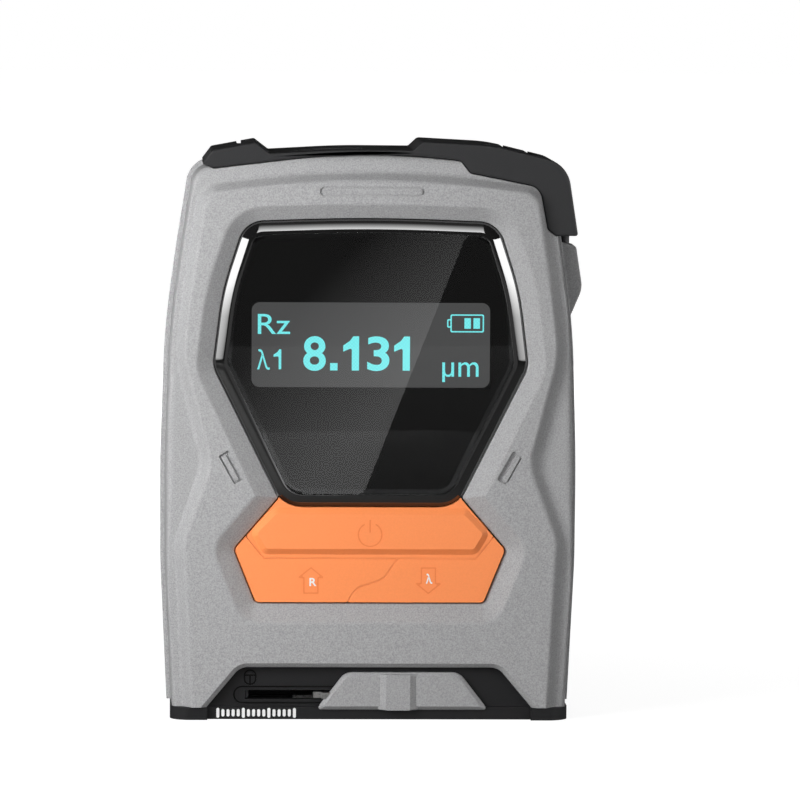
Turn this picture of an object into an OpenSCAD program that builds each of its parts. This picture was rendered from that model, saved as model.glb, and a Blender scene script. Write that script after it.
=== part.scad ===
// A pocket surface roughness tester that stands on its measuring base.
// X runs to the right, Y runs back from the front face, Z runs up from the base.

/* [Body] */
// Widest width of the housing
body_w = 82.2; // [80:0.2:85]
// Height of the housing at the middle of its top edge
body_h = 111.7; // [110.4:0.1:113.4]
// Drop of the housing's top edge from its middle to its corners
crown_fall = 2.7; // [2.3:0.1:3]
// Depth of the housing from the frame face to the back
body_d = 34; // [33:0.5:37]
// Wall of the two shells
wall = 2.2; // [1.8:0.1:2.4]
// Depth of the front shell from the frame face to the seam
front_d = 14.5; // [14:0.1:15.5]
// How far the rear shell stands wider than the front shell on each side
seam_step = 0.9; // [0.5:0.1:1.2]
// How far the sides lean in at the top
top_lean = 5.6; // [5:0.1:6.2]
// How far the sides lean in at the base
base_lean = 2.2; // [1.6:0.1:2.8]
// Radius of the top corners
top_r = 5; // [4:0.5:6]

/* [Front frame] */
// Height of the raised frame above the side panels
frame_rise = 2.4; // [1.8:0.1:2.8]
// Width of the sloped step around the frame
frame_slope = 1.6; // [1:0.1:2]
// Margin of side panel beside the frame
frame_margin = 2.9; // [2.6:0.1:3.4]
// Margin of panel above the frame
frame_top_margin = 4.4; // [3.9:0.1:5]
// How far the frame draws in at its waist
frame_waist = 5.5; // [4.5:0.1:6]
// Height of the frame's waist
frame_waist_z = 50.5; // [49:0.5:52]
// Drop of the frame's upper hips below the top
frame_hip_drop = 40.2; // [38.4:0.1:41.4]
// Height of the frame's lower shoulders
frame_shoulder_z = 35.5; // [34:0.5:37]
// Width of the chamfer around the keys and the lower display
chamfer_w = 3.7; // [3.2:0.1:4]
// Width of the chamfer along the top of the display
chamfer_top_w = 2.8; // [2.4:0.1:3.2]
// Depth of the chamfer around the opening
chamfer_d = 2.2; // [1.8:0.1:2.4]
// Length of the capsule groove near the top
accent_l = 20; // [16:0.2:24]
// Height of the capsule groove near the top
accent_h = 1.5; // [1.3:0.1:2]
// Length of the two slanted grip slots
grip_l = 6.4; // [5:0.1:7]

/* [Display] */
// Margin from the housing's sides to the ends of the lens's lower edge
lens_bottom_margin = 25.4; // [25:0.1:25.8]
// Margin from the housing's sides to the side corners of the lens
lens_hip_margin = 12.6; // [12.2:0.1:13]
// Margin from the housing's sides to the bend in the lens's upper sides
lens_brow_margin = 13.8; // [13.4:0.1:14.2]
// Margin from the housing's sides to the upper corners of the lens
lens_top_margin = 18.1; // [17.6:0.1:18.6]
// Height of the lower edge of the lens
lens_bottom_z = 44.2; // [44:0.1:44.8]
// Drop of the side corners of the lens below the top
lens_hip_drop = 42.1; // [41.4:0.1:42.8]
// Drop of the bend in the lens's upper sides below the top
lens_brow_drop = 27.3; // [25.8:0.1:28.8]
// Drop of the upper corners of the lens below the top
lens_top_drop = 17.1; // [16.7:0.1:17.9]
// Rise of the upper edge of the lens at its middle
lens_crown = 0.8; // [0.5:0.1:1]
// Thickness of the lens
lens_t = 1.5; // [1.2:0.1:1.7]
// Width of the bead around the lens
bezel_w = 2.2; // [1.9:0.1:2.3]
// Margin from the side corners of the lens to the lit display panel
panel_margin = 5.2; // [4.8:0.1:6.5]
// Height of the lit display panel
panel_h = 16.7; // [15:0.1:18]
// Drop of the middle of the display panel below the top
panel_drop = 38.2; // [36.9:0.1:39.4]

/* [Keys] */
// Margin from the housing's sides to the side tips of the key field
keys_margin = 14.6; // [14.1:0.1:15.1]
// Margin from the housing's sides to the lower corners of the key field
keys_bottom_margin = 18.9; // [18.4:0.1:19.6]
// Height of the side tips of the key field
keys_tip_z = 33.5; // [33:0.1:34]
// Height of the lower edge of the key field
keys_bottom_z = 23.1; // [22.6:0.1:23.6]
// Height where the key field meets the display
keys_waist_z = 43.6; // [43.4:0.1:44]
// Gap around each key
key_gap = 0.25; // [0.2:0.01:0.3]
// Height of the lower keys above the opening's edge
key_proud = 0.7; // [0.5:0.1:1]
// Height of the power key's plateau above the lower keys
plateau_rise = 0.9; // [0.6:0.1:1.1]
// Travel of each key
key_travel = 0.6; // [0.4:0.05:0.7]

/* [Base] */
// Thickness of the base plate
base_t = 2.5; // [2.3:0.1:2.8]
// Width of the notch at its top
notch_top_w = 50.4; // [49:0.2:52]
// Width of the notch at the base
notch_bottom_w = 63.6; // [62:0.2:64.6]
// Height of the notch's top edge
notch_z = 10.2; // [10:0.1:11]
// Depth of the notch face behind the frame face
notch_d = 3; // [2.8:0.1:3.2]
// Travel of the slider
slide_travel = 13; // [11:0.5:13.5]
// Height of the slot behind the slider
slot_h = 1.8; // [1.7:0.1:2]
// Length of the measuring window
window_l = 12.5; // [11.5:0.1:13]
// Width of the measuring window
window_w = 7; // [6.6:0.1:7.6]
// Distance of the measuring window's middle left of the centre
window_x = 21.25; // [21:0.05:21.5]
// Width of the slider knob at its foot
knob_w = 33.6; // [31.6:0.2:34.6]
// Height of the slider knob
knob_h = 7.3; // [6.8:0.1:7.6]

/* [Bumper] */
// Thickness of the bumper band on the top edge
band_t = 1; // [0.8:0.1:1.3]
// Height of the bumper's blocks above the band
block_rise = 1.7; // [1.2:0.1:2]
// How far the corner cap stands out of the right side
cap_proud = 2.2; // [1.8:0.1:2.3]
// Drop of the corner cap's lower end below the top
cap_drop = 16.7; // [16.2:0.1:17.1]
// Radius of the strap post
post_r = 1; // [0.9:0.05:1.1]

/* [Drive] */
// Radius of the guide rods
rod_r = 1.5; // [1.3:0.1:1.6]
// Radius of the lead screw
screw_r = 2; // [1.8:0.1:2.2]
// Stroke of the carriage
stroke = 6; // [5:0.5:6.5]
// Radius of the pickup tube
pickup_r = 3.3; // [3.1:0.1:3.4]
// Radius of the drive motor
motor_r = 5; // [4.5:0.1:5.2]
// Length of the drive motor
motor_l = 20; // [16:0.5:22]
// Running clearance of shafts and rods, on the radius
run_fit = 0.03; // [0.02:0.005:0.06]

/* [Electronics] */
// Thickness of the main board
board_t = 1.6; // [1.4:0.1:1.8]
// Thickness of the battery
battery_t = 8; // [6:0.5:9]
// Width of the battery
battery_w = 34; // [30:1:38]
// Length of the battery
battery_l = 44; // [38:1:48]

/* [Hidden] */
$fn = 48;
eps = 0.01;
far = 200;
shell_grey = [0.64, 0.64, 0.64];
black = [0.16, 0.16, 0.16];
orange = [1, 0.57, 0.33];

// Levels along Y
y_front = -body_d / 2;
y_rear = body_d / 2;
y_panel = y_front + frame_rise;
y_lip = y_front + chamfer_d;
y_back = y_panel + wall;
y_seam = y_front + front_d;
y_floor = y_rear - wall;
y_lens = y_lip - 0.2;
y_lens_back = y_lens + lens_t;
flange_t = 1;
y_flange = y_back + flange_t;
board_room = 3.8;
y_board = y_back + board_room;
y_board_back = y_board + board_t;
y_key = y_lip - key_proud;
y_notch = y_front + notch_d;
lip_d = 1;
y_base_lip = y_notch - lip_d;

// Outlines are lists of corners, each with its place and its rounding radius
half_w = body_w / 2;
side_soft_r = 150;
shoulder_drop = 35.7;
neck_drop = 19.7;
shoulder_lean = 0.6;
neck_lean = 2.8;
lens_crown_r = 350;
top_x = half_w - top_lean;
frame_top_x = top_x - 1.9;
under_base = 6;
body_half = [
    [half_w - base_lean, -under_base, 2],
    [half_w - 0.1, 30, side_soft_r],
    [half_w, 50, 2 * side_soft_r],
    [half_w - shoulder_lean, body_h - shoulder_drop, side_soft_r],
    [half_w - neck_lean, body_h - neck_drop, 2 * side_soft_r],
    [top_x, body_h - crown_fall, top_r],
];
frame_foot = frame_margin + base_lean;
frame_brow_drop = 24.7;
frame_half = [
    [half_w - frame_foot, 2 - under_base, 2],
    [half_w - frame_margin, frame_shoulder_z, 9],
    [half_w - frame_margin - frame_waist, frame_waist_z, 8],
    [half_w - frame_margin, body_h - frame_hip_drop, 24],
    [half_w - frame_margin - 1.8, body_h - frame_brow_drop, side_soft_r],
    [frame_top_x, body_h - frame_top_margin - crown_fall, 5],
];
lens_top_z = body_h - lens_top_drop;
lens_half = [
    [half_w - lens_bottom_margin, lens_bottom_z, 4],
    [half_w - lens_hip_margin, body_h - lens_hip_drop, 3],
    [half_w - lens_brow_margin, body_h - lens_brow_drop, 50],
    [half_w - lens_top_margin, lens_top_z, 2.5],
];
keys_w = 2 * (half_w - keys_margin);
keys_bottom_w = 2 * (half_w - keys_bottom_margin);

function both(half, top) =
    concat(half, top, [for (i = [len(half) - 1:-1:0]) [-half[i].x, half[i].y, half[i].z]]);
function flat(c) = [c.x, c.y];
function unit(v) = v / norm(v);
function side(v) = [-v.y, v.x];
function along(c, i) = unit(flat(c[(i + 1) % len(c)]) - flat(c[i]));

// Moves every edge of an outline outwards by d, and its radii with it
function grow(c, d) = [
    for (i = [0:len(c) - 1])
        let (
            u = along(c, (i + len(c) - 1) % len(c)),
            v = along(c, i),
            shift = -(side(u) + side(v)) * d / (1 + u * v),
            bend = cross(u, v) > 0 ? 1 : -1
        )
        [c[i].x + shift.x, c[i].y + shift.y, max(0.2, c[i].z + bend * d)]
];

// Replaces every corner of an outline by an arc of n steps
function rounded(c, n) = [
    for (i = [0:len(c) - 1])
        let (
            u = along(c, (i + len(c) - 1) % len(c)),
            v = along(c, i),
            turn = atan2(cross(u, v), u * v),
            reach = c[i].z * tan(abs(turn) / 2),
            start = flat(c[i]) - u * reach,
            centre = start + side(u) * sign(turn) * c[i].z
        )
        for (k = [0:n])
            let (a = turn * k / n, s = start - centre)
            centre + [s.x * cos(a) - s.y * sin(a), s.x * sin(a) + s.y * cos(a)]
];

// Apex of a top edge that arches up to height z between corners at -x and x
function crown(x, z) = [0, z + crown_fall * 2 / 3, 0.48 * x * x / crown_fall];

body_line = both(body_half, [crown(top_x, body_h)]);
frame_line = both(frame_half, [crown(frame_top_x, body_h - frame_top_margin)]);
lens_line = both(lens_half, [[0, lens_top_z + lens_crown, lens_crown_r]]);
front_line = grow(body_line, -seam_step);
bezel_fit = 0.15;
bezel_line = grow(lens_line, bezel_w);
bezel_hole = grow(lens_line, bezel_w + bezel_fit);

// The waist is where the display's slanted side reaches the key field
hole_low = bezel_hole[0];
hole_hip = bezel_hole[1];
waist_t = (keys_waist_z - hole_low.y) / (hole_hip.y - hole_low.y);
waist_x = hole_low.x + waist_t * (hole_hip.x - hole_low.x);
keys_half = [
    [keys_bottom_w / 2 + key_gap, keys_bottom_z - key_gap, 1.2],
    [keys_w / 2 + key_gap, keys_tip_z, 1.5],
    [waist_x, keys_waist_z, 0.5],
];
hole_line = both(concat(keys_half, [for (i = [1:3]) bezel_hole[i]]), [bezel_hole[4]]);
chamfer_mid_w = (chamfer_w + chamfer_top_w) / 2;
chamfer_half_w = [chamfer_w, chamfer_w, chamfer_w, chamfer_mid_w, chamfer_mid_w, chamfer_top_w];
chamfer_ws = concat(chamfer_half_w, chamfer_top_w, [for (i = [5:-1:0]) chamfer_half_w[i]]);
chamfer_line = [for (i = [0:len(hole_line) - 1]) grow(hole_line, chamfer_ws[i])[i]];
notch_r = 3;
notch_line = [
    [-notch_bottom_w / 2 - 5, base_t - 6.2, 0.5],
    [notch_bottom_w / 2 + 5, base_t - 6.2, 0.5],
    [notch_top_w / 2, notch_z, notch_r],
    [-notch_top_w / 2, notch_z, notch_r],
];
fine = 8;
coarse = 5;

// Joins a row of rings, each a list of points at one depth, into one skin
module loft(rings, closed = false) {
    n = len(rings[0][0]);
    m = len(rings);
    points = [for (r = rings) for (p = r[0]) [p.x, r[1], p.y]];
    last = closed ? m - 1 : m - 2;
    skin = [
        for (i = [0:last])
            for (j = [0:n - 1])
                let (
                    a = i * n + j,
                    b = i * n + (j + 1) % n,
                    c = ((i + 1) % m) * n + (j + 1) % n,
                    d = ((i + 1) % m) * n + j
                )
                each [[a, b, c], [a, c, d]]
    ];
    caps = closed ? [] : [[for (j = [n - 1:-1:0]) j], [for (j = [0:n - 1]) (m - 1) * n + j]];
    polyhedron(points, concat(skin, caps));
}

// Extrudes a front-view shape from depth y0 back to depth y1
module slab(y0, y1) {
    translate([0, y1, 0])
        rotate([90, 0, 0])
            linear_extrude(y1 - y0)
                children();
}

module line_slab(c, y0, y1, n = coarse) {
    slab(y0, y1)
        polygon(rounded(c, n));
}

module rod_x(x0, x1, r) {
    translate([x0, 0, 0])
        rotate([0, 90, 0])
            cylinder(h = x1 - x0, r = r);
}

module rod_y(y0, y1, r) {
    translate([0, y0, 0])
        rotate([-90, 0, 0])
            cylinder(h = y1 - y0, r = r);
}

module box(x, y, z) {
    translate([x[0], y[0], z[0]])
        cube([x[1] - x[0], y[1] - y[0], z[1] - z[0]]);
}

// Bumper outline in the front view
bump_gap = 0.1;
band_lap = 0.15;
top_line_z = body_h - seam_step - band_lap;
band_z = top_line_z + band_t;
block_z = band_z + block_rise;
cap_z = body_h - cap_drop;
cap_step_margin = 23.7;
cap_step_x = half_w - cap_step_margin;
cap_inner_margin = 6.7;
cap_inner_x = half_w - cap_inner_margin;
cap_inner_z = body_h - 7.2;
cap_corner_z = body_h - 2.6;
cap_outer = top_x + 0.5 + cap_proud;
cap_foot = half_w - 2.9 + cap_proud;
bump_left = top_x - 2.3;
block_left_w = 8;
block_right_margin = 31.3;
block_right_x = half_w - block_right_margin;
block_slope = 1.8;
cap_slope_margin = 17.6;
cap_slope_x = half_w - cap_slope_margin;
cap_slope_z = block_z - 0.7;
cap_fall = (cap_slope_z - cap_corner_z) / (cap_outer - cap_slope_x);
band_left = bump_left - 2.4;
band_fall = 0.12;
band_apex_z = top_line_z + 0.45 * cap_step_x * band_fall;
band_low_z = band_apex_z - band_fall * band_left;
band_crown_r = 0.9 * cap_step_x / band_fall;
block_left_x = block_left_w - bump_left;
post_x = half_w - 2.4;
post_y = 2;
post_seat = 4;
post_bite = 3;
bump_rear = y_rear - 4;
bump_line = [
    [-bump_left, band_low_z + 0.85, 0.4],
    [-band_left, band_low_z, 0.6],
    [0, band_apex_z, band_crown_r],
    [cap_step_x, band_apex_z - band_fall * cap_step_x, 0.6],
    [cap_step_x + 1.8, top_line_z - 3.5, 0.8],
    [cap_inner_x - 1.6, cap_inner_z, 3],
    [cap_inner_x, cap_z + 1.2, 1.5],
    [cap_inner_x + 1.6, cap_z, 0.8],
    [cap_foot, cap_z, 0.5],
    [cap_outer, cap_corner_z, 6],
    [cap_slope_x, cap_slope_z, 30],
    [block_right_x, block_z, 1.2],
    [block_right_x - block_slope, band_z, 0.6],
    [-6, band_z + 0.05, 150],
    [block_left_x + 5.3, band_z - 0.75, 0.6],
    [block_left_x + 2.5, block_z - 0.3, 0.6],
    [2 - bump_left, block_z - 1.9, 0.8],
];

module bumper_cut() {
    slab(y_front - 1, bump_rear + bump_gap)
        offset(delta = bump_gap)
            for (lift = [0, 3])
                translate([lift / 2, lift])
                    polygon(rounded(bump_line, coarse));
}

// Wall of the shells under the bumper's corner cap
module cap_seat(y0, y1) {
    slab(y0, y1)
        intersection() {
            polygon(rounded(grow(front_line, -wall / 2), coarse));
            difference() {
                offset(delta = wall)
                    polygon(rounded(bump_line, coarse));
                offset(delta = bump_gap)
                    polygon(rounded(bump_line, coarse));
            }
        }
}

// Screw places
case_high_margin = 11.6;
case_low_margin = 7.6;
case_drop = 10.2;
case_x = [half_w - case_high_margin, half_w - case_low_margin];
case_z = [body_h - case_drop, 28];
case_boss_r = 2.6;
case_screw_r = 1.2;
case_head_r = 2.2;
case_head_h = 1.6;
head_sink = 1;
bite = 7;
board_screw_margin = 10.3;
board_x = half_w - board_screw_margin;
board_fit = 0.4;
board_high_z = cap_z - wall - board_fit;
board_z = [42, board_high_z - 2.4];
board_boss_r = 2;
board_bite = 3;
board_screw_r = 0.95;
base_screw_margin = 5.9;
base_x = half_w - base_screw_margin;
base_y = 8.5;
base_boss_r = 2.4;
base_boss_h = 8;
base_screw_r = 1;
screw_fit = 0.05;

module at_case_screws() {
    for (i = [0, 1])
        for (s = [-1, 1])
            translate([s * case_x[i], 0, case_z[i]])
                children();
}

module at_board_screws() {
    for (z = board_z)
        for (s = [-1, 1])
            translate([s * board_x, 0, z])
                children();
}

module at_base_screws(y) {
    for (s = [-1, 1])
        translate([s * base_x, y, 0])
            children();
}

// Charge socket
socket_x = -8;
socket_w = 9;
socket_t = 3.2;
socket_l = 9;
socket_z = body_h - seam_step - 1.2;
socket_fit = 0.2;
plug_w = 12.6;
plug_t = 6.4;

module socket_hole() {
    box(
        [socket_x - socket_w / 2 - socket_fit, socket_x + socket_w / 2 + socket_fit],
        [y_board_back - socket_fit, y_board_back + socket_t + socket_fit],
        [socket_z - socket_l - 1, body_h + 1]
    );
}

// Capsule groove near the top and the two slanted grip slots
accent_z = body_h - 8.1;
groove = 0.4;
grip_margin = 13.9;
grip_x = half_w - grip_margin;
grip_z = 49.7;
grip_w = 1.5;
grip_tilt = 29;

module capsule(l, w) {
    hull()
        for (s = [-1, 1])
            translate([s * (l - w) / 2, 0])
                circle(d = w);
}

module capsule_groove(l, w, line) {
    difference() {
        offset(delta = line / 2)
            capsule(l, w);
        offset(delta = -line / 2)
            capsule(l, w);
    }
}

module front_recesses() {
    slab(y_front - 1, y_front + groove)
        translate([0, accent_z])
            capsule_groove(accent_l, accent_h, 0.4);
    for (s = [-1, 1])
        slab(y_front - 1, y_front + 0.7)
            translate([s * grip_x, grip_z])
                rotate(-s * grip_tilt)
                    difference() {
                        square([grip_w + 0.8, grip_l], center = true);
                        translate([s * 0.3, 0])
                            square([grip_w - 0.5, grip_l - 0.8], center = true);
                    }
}

notch_chamfer = 0.9;
notch_fit = 0.15;

module notch_cut() {
    loft([
        [rounded(grow(notch_line, notch_chamfer + notch_fit + 0.1), coarse), y_front - 0.1],
        [rounded(grow(notch_line, notch_fit), coarse), y_front + notch_chamfer],
        [rounded(grow(notch_line, notch_fit), coarse), y_back + 1],
    ]);
    box([-far, far], [-far, far], [-far, base_t]);
}

module front_housing() {
    color(shell_grey)
        difference() {
            union() {
                loft([
                    [rounded(hole_line, fine), y_back],
                    [rounded(hole_line, fine), y_lip],
                    [rounded(chamfer_line, fine), y_front],
                    [rounded(grow(frame_line, -frame_slope), fine), y_front],
                    [rounded(grow(frame_line, -frame_slope * 0.7), fine), y_front + 0.4],
                    [rounded(frame_line, fine), y_panel],
                    [rounded(grow(front_line, -1.9), fine), y_panel],
                    [rounded(grow(front_line, -0.7), fine), y_panel + 0.5],
                    [rounded(grow(front_line, -0.2), fine), y_panel + 1.7],
                    [rounded(front_line, fine), y_seam],
                    [rounded(grow(front_line, -wall), fine), y_seam],
                    [rounded(grow(front_line, -wall - 0.3), fine), y_back],
                ], closed = true);
                intersection() {
                    union() {
                        at_case_screws()
                            rod_y(y_back - eps, y_seam, case_boss_r);
                        at_board_screws()
                            rod_y(y_back - eps, y_board, board_boss_r);
                        at_base_screws(-base_y)
                            cylinder(h = base_t + base_boss_h, r = base_boss_r);
                    }
                    line_slab(grow(front_line, -wall / 2), y_front, y_seam);
                }
                cap_seat(y_panel + wall / 2, y_seam);
            }
            bumper_cut();
            notch_cut();
            front_recesses();
            socket_hole();
            at_case_screws()
                rod_y(y_seam - bite, y_seam + 1, case_screw_r + screw_fit);
            at_board_screws()
                rod_y(y_board - board_bite, y_board + 1, board_screw_r + screw_fit);
            at_base_screws(-base_y)
                translate([0, 0, -1])
                    cylinder(h = base_t + base_boss_h, r = base_screw_r + screw_fit);
        }
}

// Strap boss on the right side of the rear shell
boss_top_z = cap_z - 1.4;
boss_l = 14.5;
boss_proud = 0.65;
boss_d = 10;
boss_line = [
    [half_w - 4, boss_top_z - boss_l - 2, 0.2],
    [half_w - 1.9, boss_top_z - boss_l - 2, 0.5],
    [half_w + boss_proud, boss_top_z - 9.5, 5],
    [half_w + boss_proud - 0.9, boss_top_z - 1.2, 0.8],
    [half_w - 4, boss_top_z, 0.2],
];

module rear_housing() {
    color(shell_grey)
        difference() {
            union() {
                loft([
                    [rounded(grow(body_line, -wall - 2.6), fine), y_floor],
                    [rounded(grow(body_line, -wall - 0.4), fine), y_floor - 3],
                    [rounded(grow(body_line, -wall), fine), y_seam],
                    [rounded(body_line, fine), y_seam],
                    [rounded(grow(body_line, -0.4), fine), y_rear - 6],
                    [rounded(grow(body_line, -1.2), fine), y_rear - 2.6],
                    [rounded(grow(body_line, -2.6), fine), y_rear - 0.8],
                    [rounded(grow(body_line, -4.6), fine), y_rear],
                ]);
                intersection() {
                    union() {
                        at_case_screws()
                            rod_y(y_seam, y_rear - 1, case_boss_r);
                        at_base_screws(base_y)
                            cylinder(h = base_t + base_boss_h, r = base_boss_r);
                        battery_rails();
                    }
                    line_slab(grow(body_line, -wall / 2), y_seam, y_rear - wall / 2);
                }
                line_slab(boss_line, y_seam + 0.6, y_seam + boss_d);
                cap_seat(y_seam, bump_rear + wall);
            }
            bumper_cut();
            box([-far, far], [-far, far], [-far, base_t]);
            box(
                [half_w - 4.4, half_w + 9],
                [post_y - 3, post_y + 3],
                [boss_top_z - 1.2, cap_z + 1]
            );
            translate([post_x, post_y, boss_top_z - post_seat])
                cylinder(h = post_seat + 2, r = post_r + run_fit);
            at_case_screws()
                rod_y(y_seam - 1, y_rear, case_screw_r + screw_fit);
            at_case_screws()
                rod_y(y_rear - head_sink - case_head_h, y_rear + 1, case_head_r + screw_fit);
            at_base_screws(base_y)
                translate([0, 0, -1])
                    cylinder(h = base_t + base_boss_h, r = base_screw_r + screw_fit);
        }
}

rib_pitch = 4.9;
rib_left = 7;
rib_right = 12.1;
rib_w = 0.9;
rib_d = 0.6;
ribs = [
    [rib_left - bump_left, block_z - 1.4],
    for (x = [cap_outer - rib_right, cap_outer - rib_right + rib_pitch])
        [x, cap_slope_z - cap_fall * (x - cap_slope_x) - rib_d],
];

module top_bumper() {
    color(black)
        difference() {
            line_slab(bump_line, y_panel, bump_rear, fine);
            for (rib = ribs)
                box([rib.x, rib.x + rib_w], [y_panel + 3, bump_rear + 1], [rib.y, far]);
            translate([socket_x, y_board_back + socket_t / 2, top_line_z])
                cube([plug_w, plug_t, 20], center = true);
            translate([post_x, post_y, cap_z - 1])
                cylinder(h = post_bite + 1, r = post_r + run_fit);
        }
}

module strap_post() {
    color(black)
        translate([post_x, post_y, boss_top_z - post_seat])
            cylinder(h = cap_z + post_bite - boss_top_z + post_seat, r = post_r);
}

// Measuring base
base_front = y_front + 0.5;
base_rear = y_rear - 1;
base_half = half_w - base_lean + 0.1;
base_r = 4;
base_wall = 2.5;
foot_x = notch_bottom_w / 2 - 0.1;
slot_z = 4.7;
tongue_x = [-10.9, -1];
tongue_tip = 1.6;
tongue_sink = 0.4;
tongue_h = 1.2;
tongue_fit = 0.3;
slot_x = [tongue_x[0] - slide_travel - tongue_fit, tongue_x[1] + tongue_fit];
track_h = 3.5;
track_d = 0.35;
track_reach = 2.4;
door_fit = 0.3;
door_t = 0.6;
door_w = window_w + 2;
door_l = 14.8;
door_x = [-window_x + window_l / 2 + 0.2, -window_x + window_l / 2 + 0.2 + door_l];
rail_t = 1.2;
rail_y = door_w / 2 + door_fit + rail_t;
rail_x = [door_x[0] - slide_travel - 6.2, door_x[1] + 1];
rail_h = 1.6;
base_sink = 1.3;
base_head_r = 2.1;

module base_plan() {
    difference() {
        offset(r = base_r)
            offset(delta = -base_r)
                translate([-base_half, base_front])
                    square([2 * base_half, base_rear - base_front]);
        translate([-foot_x, base_front - 1])
            square([2 * foot_x, y_base_lip - base_front + 1]);
    }
}

module base_cover() {
    color(black)
        difference() {
            union() {
                linear_extrude(base_t)
                    base_plan();
                slab(y_notch, y_notch + base_wall)
                    intersection() {
                        polygon(rounded(notch_line, coarse));
                        translate([-far, base_t - 0.5])
                            square([2 * far, far]);
                    }
                for (s = [-1, 1])
                    translate([0, s * (rail_y - rail_t / 2), 0])
                        box(rail_x, [-rail_t / 2, rail_t / 2], [1, base_t + rail_h]);
            }
            box(
                [-window_x - window_l / 2, -window_x + window_l / 2],
                [-window_w / 2, window_w / 2],
                [-1, base_t + 1]
            );
            box(slot_x, [y_notch - 1, y_notch + base_wall + 1], [slot_z - slot_h / 2, slot_z + slot_h / 2]);
            slab(y_notch - 1, y_notch + track_d)
                translate([(slot_x[0] + slot_x[1]) / 2, slot_z])
                    capsule(slot_x[1] - slot_x[0] + 2 * track_reach, track_h);
            box(
                [slot_x[0] - tongue_fit, slot_x[1] + tongue_fit],
                [-rail_y - 1, -door_w / 2],
                [base_t, far]
            );
            for (y = [-base_y, base_y])
                at_base_screws(y) {
                    translate([0, 0, -1])
                        cylinder(h = base_t + 2, r = base_screw_r + screw_fit);
                    translate([0, 0, -1])
                        cylinder(h = 1 + base_sink, r = base_head_r + screw_fit);
                }
            at_drive_screws() {
                translate([0, 0, -1])
                    cylinder(h = base_t + 2, r = base_screw_r + screw_fit);
                translate([0, 0, -1])
                    cylinder(h = 1 + base_sink, r = base_head_r + screw_fit);
            }
        }
}

// Slider knob with its raised ridge
knob_x = -10.3;
knob_z = 2;
knob_gap = 0.3;
knob_slope = 5.6;
knob_r = 3;
knob_foot_r = 0.4;
knob_edge = 0.7;
ridge_x = knob_x + knob_w * 0.475;
ridge_w = 4.7;
ridge_rise = 0.9;
ridge_slope = 1.6;
ridge_root = 0.3;
knob_line = [
    [knob_x, knob_z, knob_foot_r],
    [knob_x + knob_w, knob_z, knob_foot_r],
    [knob_x + knob_w - knob_slope, knob_z + knob_h, knob_r],
    [knob_x + knob_slope, knob_z + knob_h, knob_r],
];
y_knob = y_front + 0.8;
y_knob_back = y_base_lip - knob_gap;

module slider_knob() {
    color(shell_grey)
        difference() {
            union() {
                loft([
                    [rounded(grow(knob_line, -knob_edge), fine), y_knob],
                    [rounded(knob_line, fine), y_knob + knob_edge],
                    [rounded(knob_line, fine), y_knob_back],
                ]);
                slab(y_knob_back - eps, y_notch - knob_gap)
                    intersection() {
                        polygon(rounded(knob_line, coarse));
                        translate([-far, base_t + knob_gap])
                            square([2 * far, far]);
                    }
                loft([
                    [rounded(ridge_line(0), 2), y_knob - ridge_rise],
                    [rounded(ridge_line(ridge_slope), 2), y_knob + ridge_root],
                ]);
            }
            box(
                [tongue_x[0] + tongue_tip, tongue_x[1] + run_fit],
                [y_knob_back - tongue_sink - run_fit, y_notch],
                [slot_z - tongue_h / 2 - run_fit, slot_z + tongue_h / 2 + run_fit]
            );
        }
}

function ridge_line(grown) = [
    [ridge_x - ridge_w / 2 - grown, knob_z, 0.3],
    [ridge_x + ridge_w / 2 + grown, knob_z, 0.3],
    [ridge_x + ridge_w / 2 + grown, knob_z + knob_h - 0.3, 0.3],
    [ridge_x - ridge_w / 2 - grown, knob_z + knob_h - 0.3, 0.3],
];

module pickup_door() {
    color("silver")
        union() {
            box(door_x, [-door_w / 2, door_w / 2], [base_t + door_fit, base_t + door_fit + door_t]);
            box(
                tongue_x,
                [y_notch + base_wall + 0.5, -door_w / 2 + 1],
                [base_t + door_fit, slot_z + tongue_h / 2]
            );
            box(
                [tongue_x[0], tongue_x[0] + tongue_tip],
                [y_notch - knob_gap + 0.1, y_notch + base_wall + 1],
                [slot_z - tongue_h / 2, slot_z + tongue_h / 2]
            );
            box(
                [tongue_x[0] + tongue_tip, tongue_x[1]],
                [y_knob_back - tongue_sink, y_notch + base_wall + 1],
                [slot_z - tongue_h / 2, slot_z + tongue_h / 2]
            );
        }
}

module display_bezel() {
    color(black)
        loft([
            [rounded(grow(lens_line, -1), fine), y_flange],
            [rounded(grow(lens_line, -1), fine), y_lens_back],
            [rounded(grow(lens_line, 0.05), fine), y_lens_back],
            [rounded(grow(lens_line, 0.05), fine), y_lip - 0.3],
            [rounded(grow(lens_line, bezel_w * 0.3), fine), y_lip - 0.85],
            [rounded(grow(lens_line, bezel_w * 0.6), fine), y_lip - 1],
            [rounded(grow(lens_line, bezel_w * 0.87), fine), y_lip - 0.75],
            [rounded(bezel_line, fine), y_lip - 0.2],
            [rounded(bezel_line, fine), y_back],
            [rounded(grow(bezel_line, 1.2), fine), y_back],
            [rounded(grow(bezel_line, 1.2), fine), y_flange],
        ], closed = true);
}

module display_lens() {
    color([0.1, 0.1, 0.1, 0.6])
        loft([
            [rounded(grow(lens_line, -0.2), fine), y_lens],
            [rounded(lens_line, fine), y_lens + 0.2],
            [rounded(lens_line, fine), y_lens_back],
        ]);
}

// Frame that holds the display panel behind the lens
panel_fit = 0.2;
panel_w = 2 * (half_w - lens_hip_margin - panel_margin);
panel_z = body_h - panel_drop;
holder_peg_r = 1.2;

module panel_shape(grown) {
    translate([0, panel_z])
        square([panel_w + 2 * grown, panel_h + 2 * grown], center = true);
}

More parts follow.
